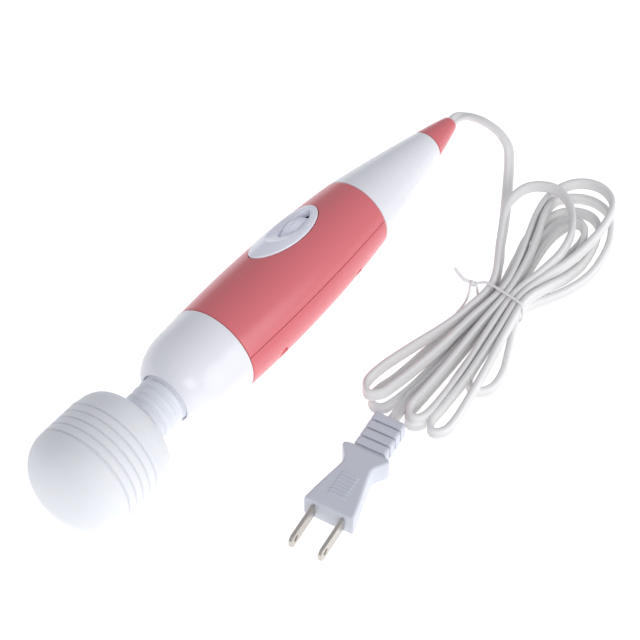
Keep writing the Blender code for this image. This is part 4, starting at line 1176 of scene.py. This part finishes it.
def make_blade(name, side, node):
    """Flat contact blade with a pointed end and a round hole."""
    tip, half = -BLADE_LENGTH - GAP, BLADE_HALF_WIDTH
    outline = [
        (-GAP, -half),
        (-GAP, half),
        (tip + BLADE_CHAMFER, half),
        (tip, half - BLADE_CHAMFER),
        (tip, BLADE_CHAMFER - half),
        (tip + BLADE_CHAMFER, -half),
    ]
    centre = side * BLADE_PITCH / 2
    bm = bmesh.new()
    face = bm.faces.new([bm.verts.new((x, centre - BLADE_HALF_THICKNESS, z)) for x, z in outline])
    moved = bmesh.ops.extrude_face_region(bm, geom=[face])["geom"]
    thickness = (0, 2 * BLADE_HALF_THICKNESS, 0)
    bmesh.ops.translate(bm, vec=thickness, verts=[v for v in moved if isinstance(v, bmesh.types.BMVert)])
    blade = add_piece(name, bm, nickel(), "handle", [node], PLUG)
    bm = bmesh.new()
    place = Matrix.Translation((tip + BLADE_HOLE_FROM_TIP, centre, 0))
    add_cylinder(bm, BLADE_HOLE_RADIUS, 0.0040, place @ Matrix.Rotation(math.pi / 2, 4, "X"), 40)
    cut_away(blade, add_piece("hole_cutter", bm, nickel(), None, place=PLUG))
    round_edges(blade, BLADE_EDGE, angle=40)
    return blade


# Stage ---------------------------------------------------------------------------------------------


def make_camera():
    forward = Vector((
        math.cos(VIEW_HEADING) * math.cos(VIEW_ELEVATION),
        math.sin(VIEW_HEADING) * math.cos(VIEW_ELEVATION),
        -math.sin(VIEW_ELEVATION),
    ))
    data = bpy.data.cameras.new("camera")
    data.lens = VIEW_LENS
    data.sensor_width = SENSOR_WIDTH
    data.clip_end = 20.0
    camera = bpy.data.objects.new("camera", data)
    bpy.context.scene.collection.objects.link(camera)
    camera.location = Vector(VIEW_TARGET) - forward * VIEW_DISTANCE
    camera.rotation_mode = "QUATERNION"
    camera.rotation_quaternion = forward.to_track_quat("-Z", "Y")
    bpy.context.scene.camera = camera


def make_light(name, place, size, power):
    """A round soft light, placed (to the right, towards the viewer, up) from the view's target."""
    rightwards, towards, height = place
    right = Vector((math.sin(VIEW_HEADING), -math.cos(VIEW_HEADING), 0))
    front = Vector((-math.cos(VIEW_HEADING), -math.sin(VIEW_HEADING), 0))
    data = bpy.data.lights.new(name, "AREA")
    data.shape = "DISK"
    data.size = size
    data.energy = power
    light = bpy.data.objects.new(name, data)
    bpy.context.scene.collection.objects.link(light)
    light.location = Vector(VIEW_TARGET) + right * rightwards + front * towards + Vector((0, 0, height))
    light.rotation_mode = "QUATERNION"
    light.rotation_quaternion = (Vector(VIEW_TARGET) - light.location).to_track_quat("-Z", "Y")


def make_stage():
    """A pale light table, and soft light that comes mostly from the right of the view, low down."""
    bm = bmesh.new()
    bmesh.ops.create_grid(bm, x_segments=8, y_segments=8, size=3.0)
    surface = procedural("studio_floor", (0.90, 0.90, 0.91), 0.9, mottle=0.002, grain=0.0)
    glow = surface.node_tree.nodes["Principled BSDF"]
    glow.inputs["Emission Color"].default_value = (1.0, 1.0, 1.0, 1.0)
    glow.inputs["Emission Strength"].default_value = FLOOR_GLOW
    floor = add_piece("studio_floor", bm, surface, None, place=Matrix.Identity(4))
    world = bpy.data.worlds.new("studio")
    world.use_nodes = True
    background = world.node_tree.nodes["Background"]
    background.inputs["Color"].default_value = (0.92, 0.94, 1.0, 1.0)
    background.inputs["Strength"].default_value = SKY_STRENGTH
    bpy.context.scene.world = world
    for name, rightwards, towards, height, size, power in LIGHTS:
        make_light(name, (rightwards, towards, height), size, power)
    bpy.context.scene.view_settings.view_transform = "Standard"


def main():
    make_camera()
    plug_pieces = make_plug()
    tie = make_tie()
    make_cord()
    make_head()
    make_neck()
    make_shroud()
    make_upper_casing()
    make_lower_casing()
    make_screw_wells()
    make_screws()
    make_bezel()
    make_dial()
    make_tail()
    dress_inner_nodes()
    make_stage()


main()
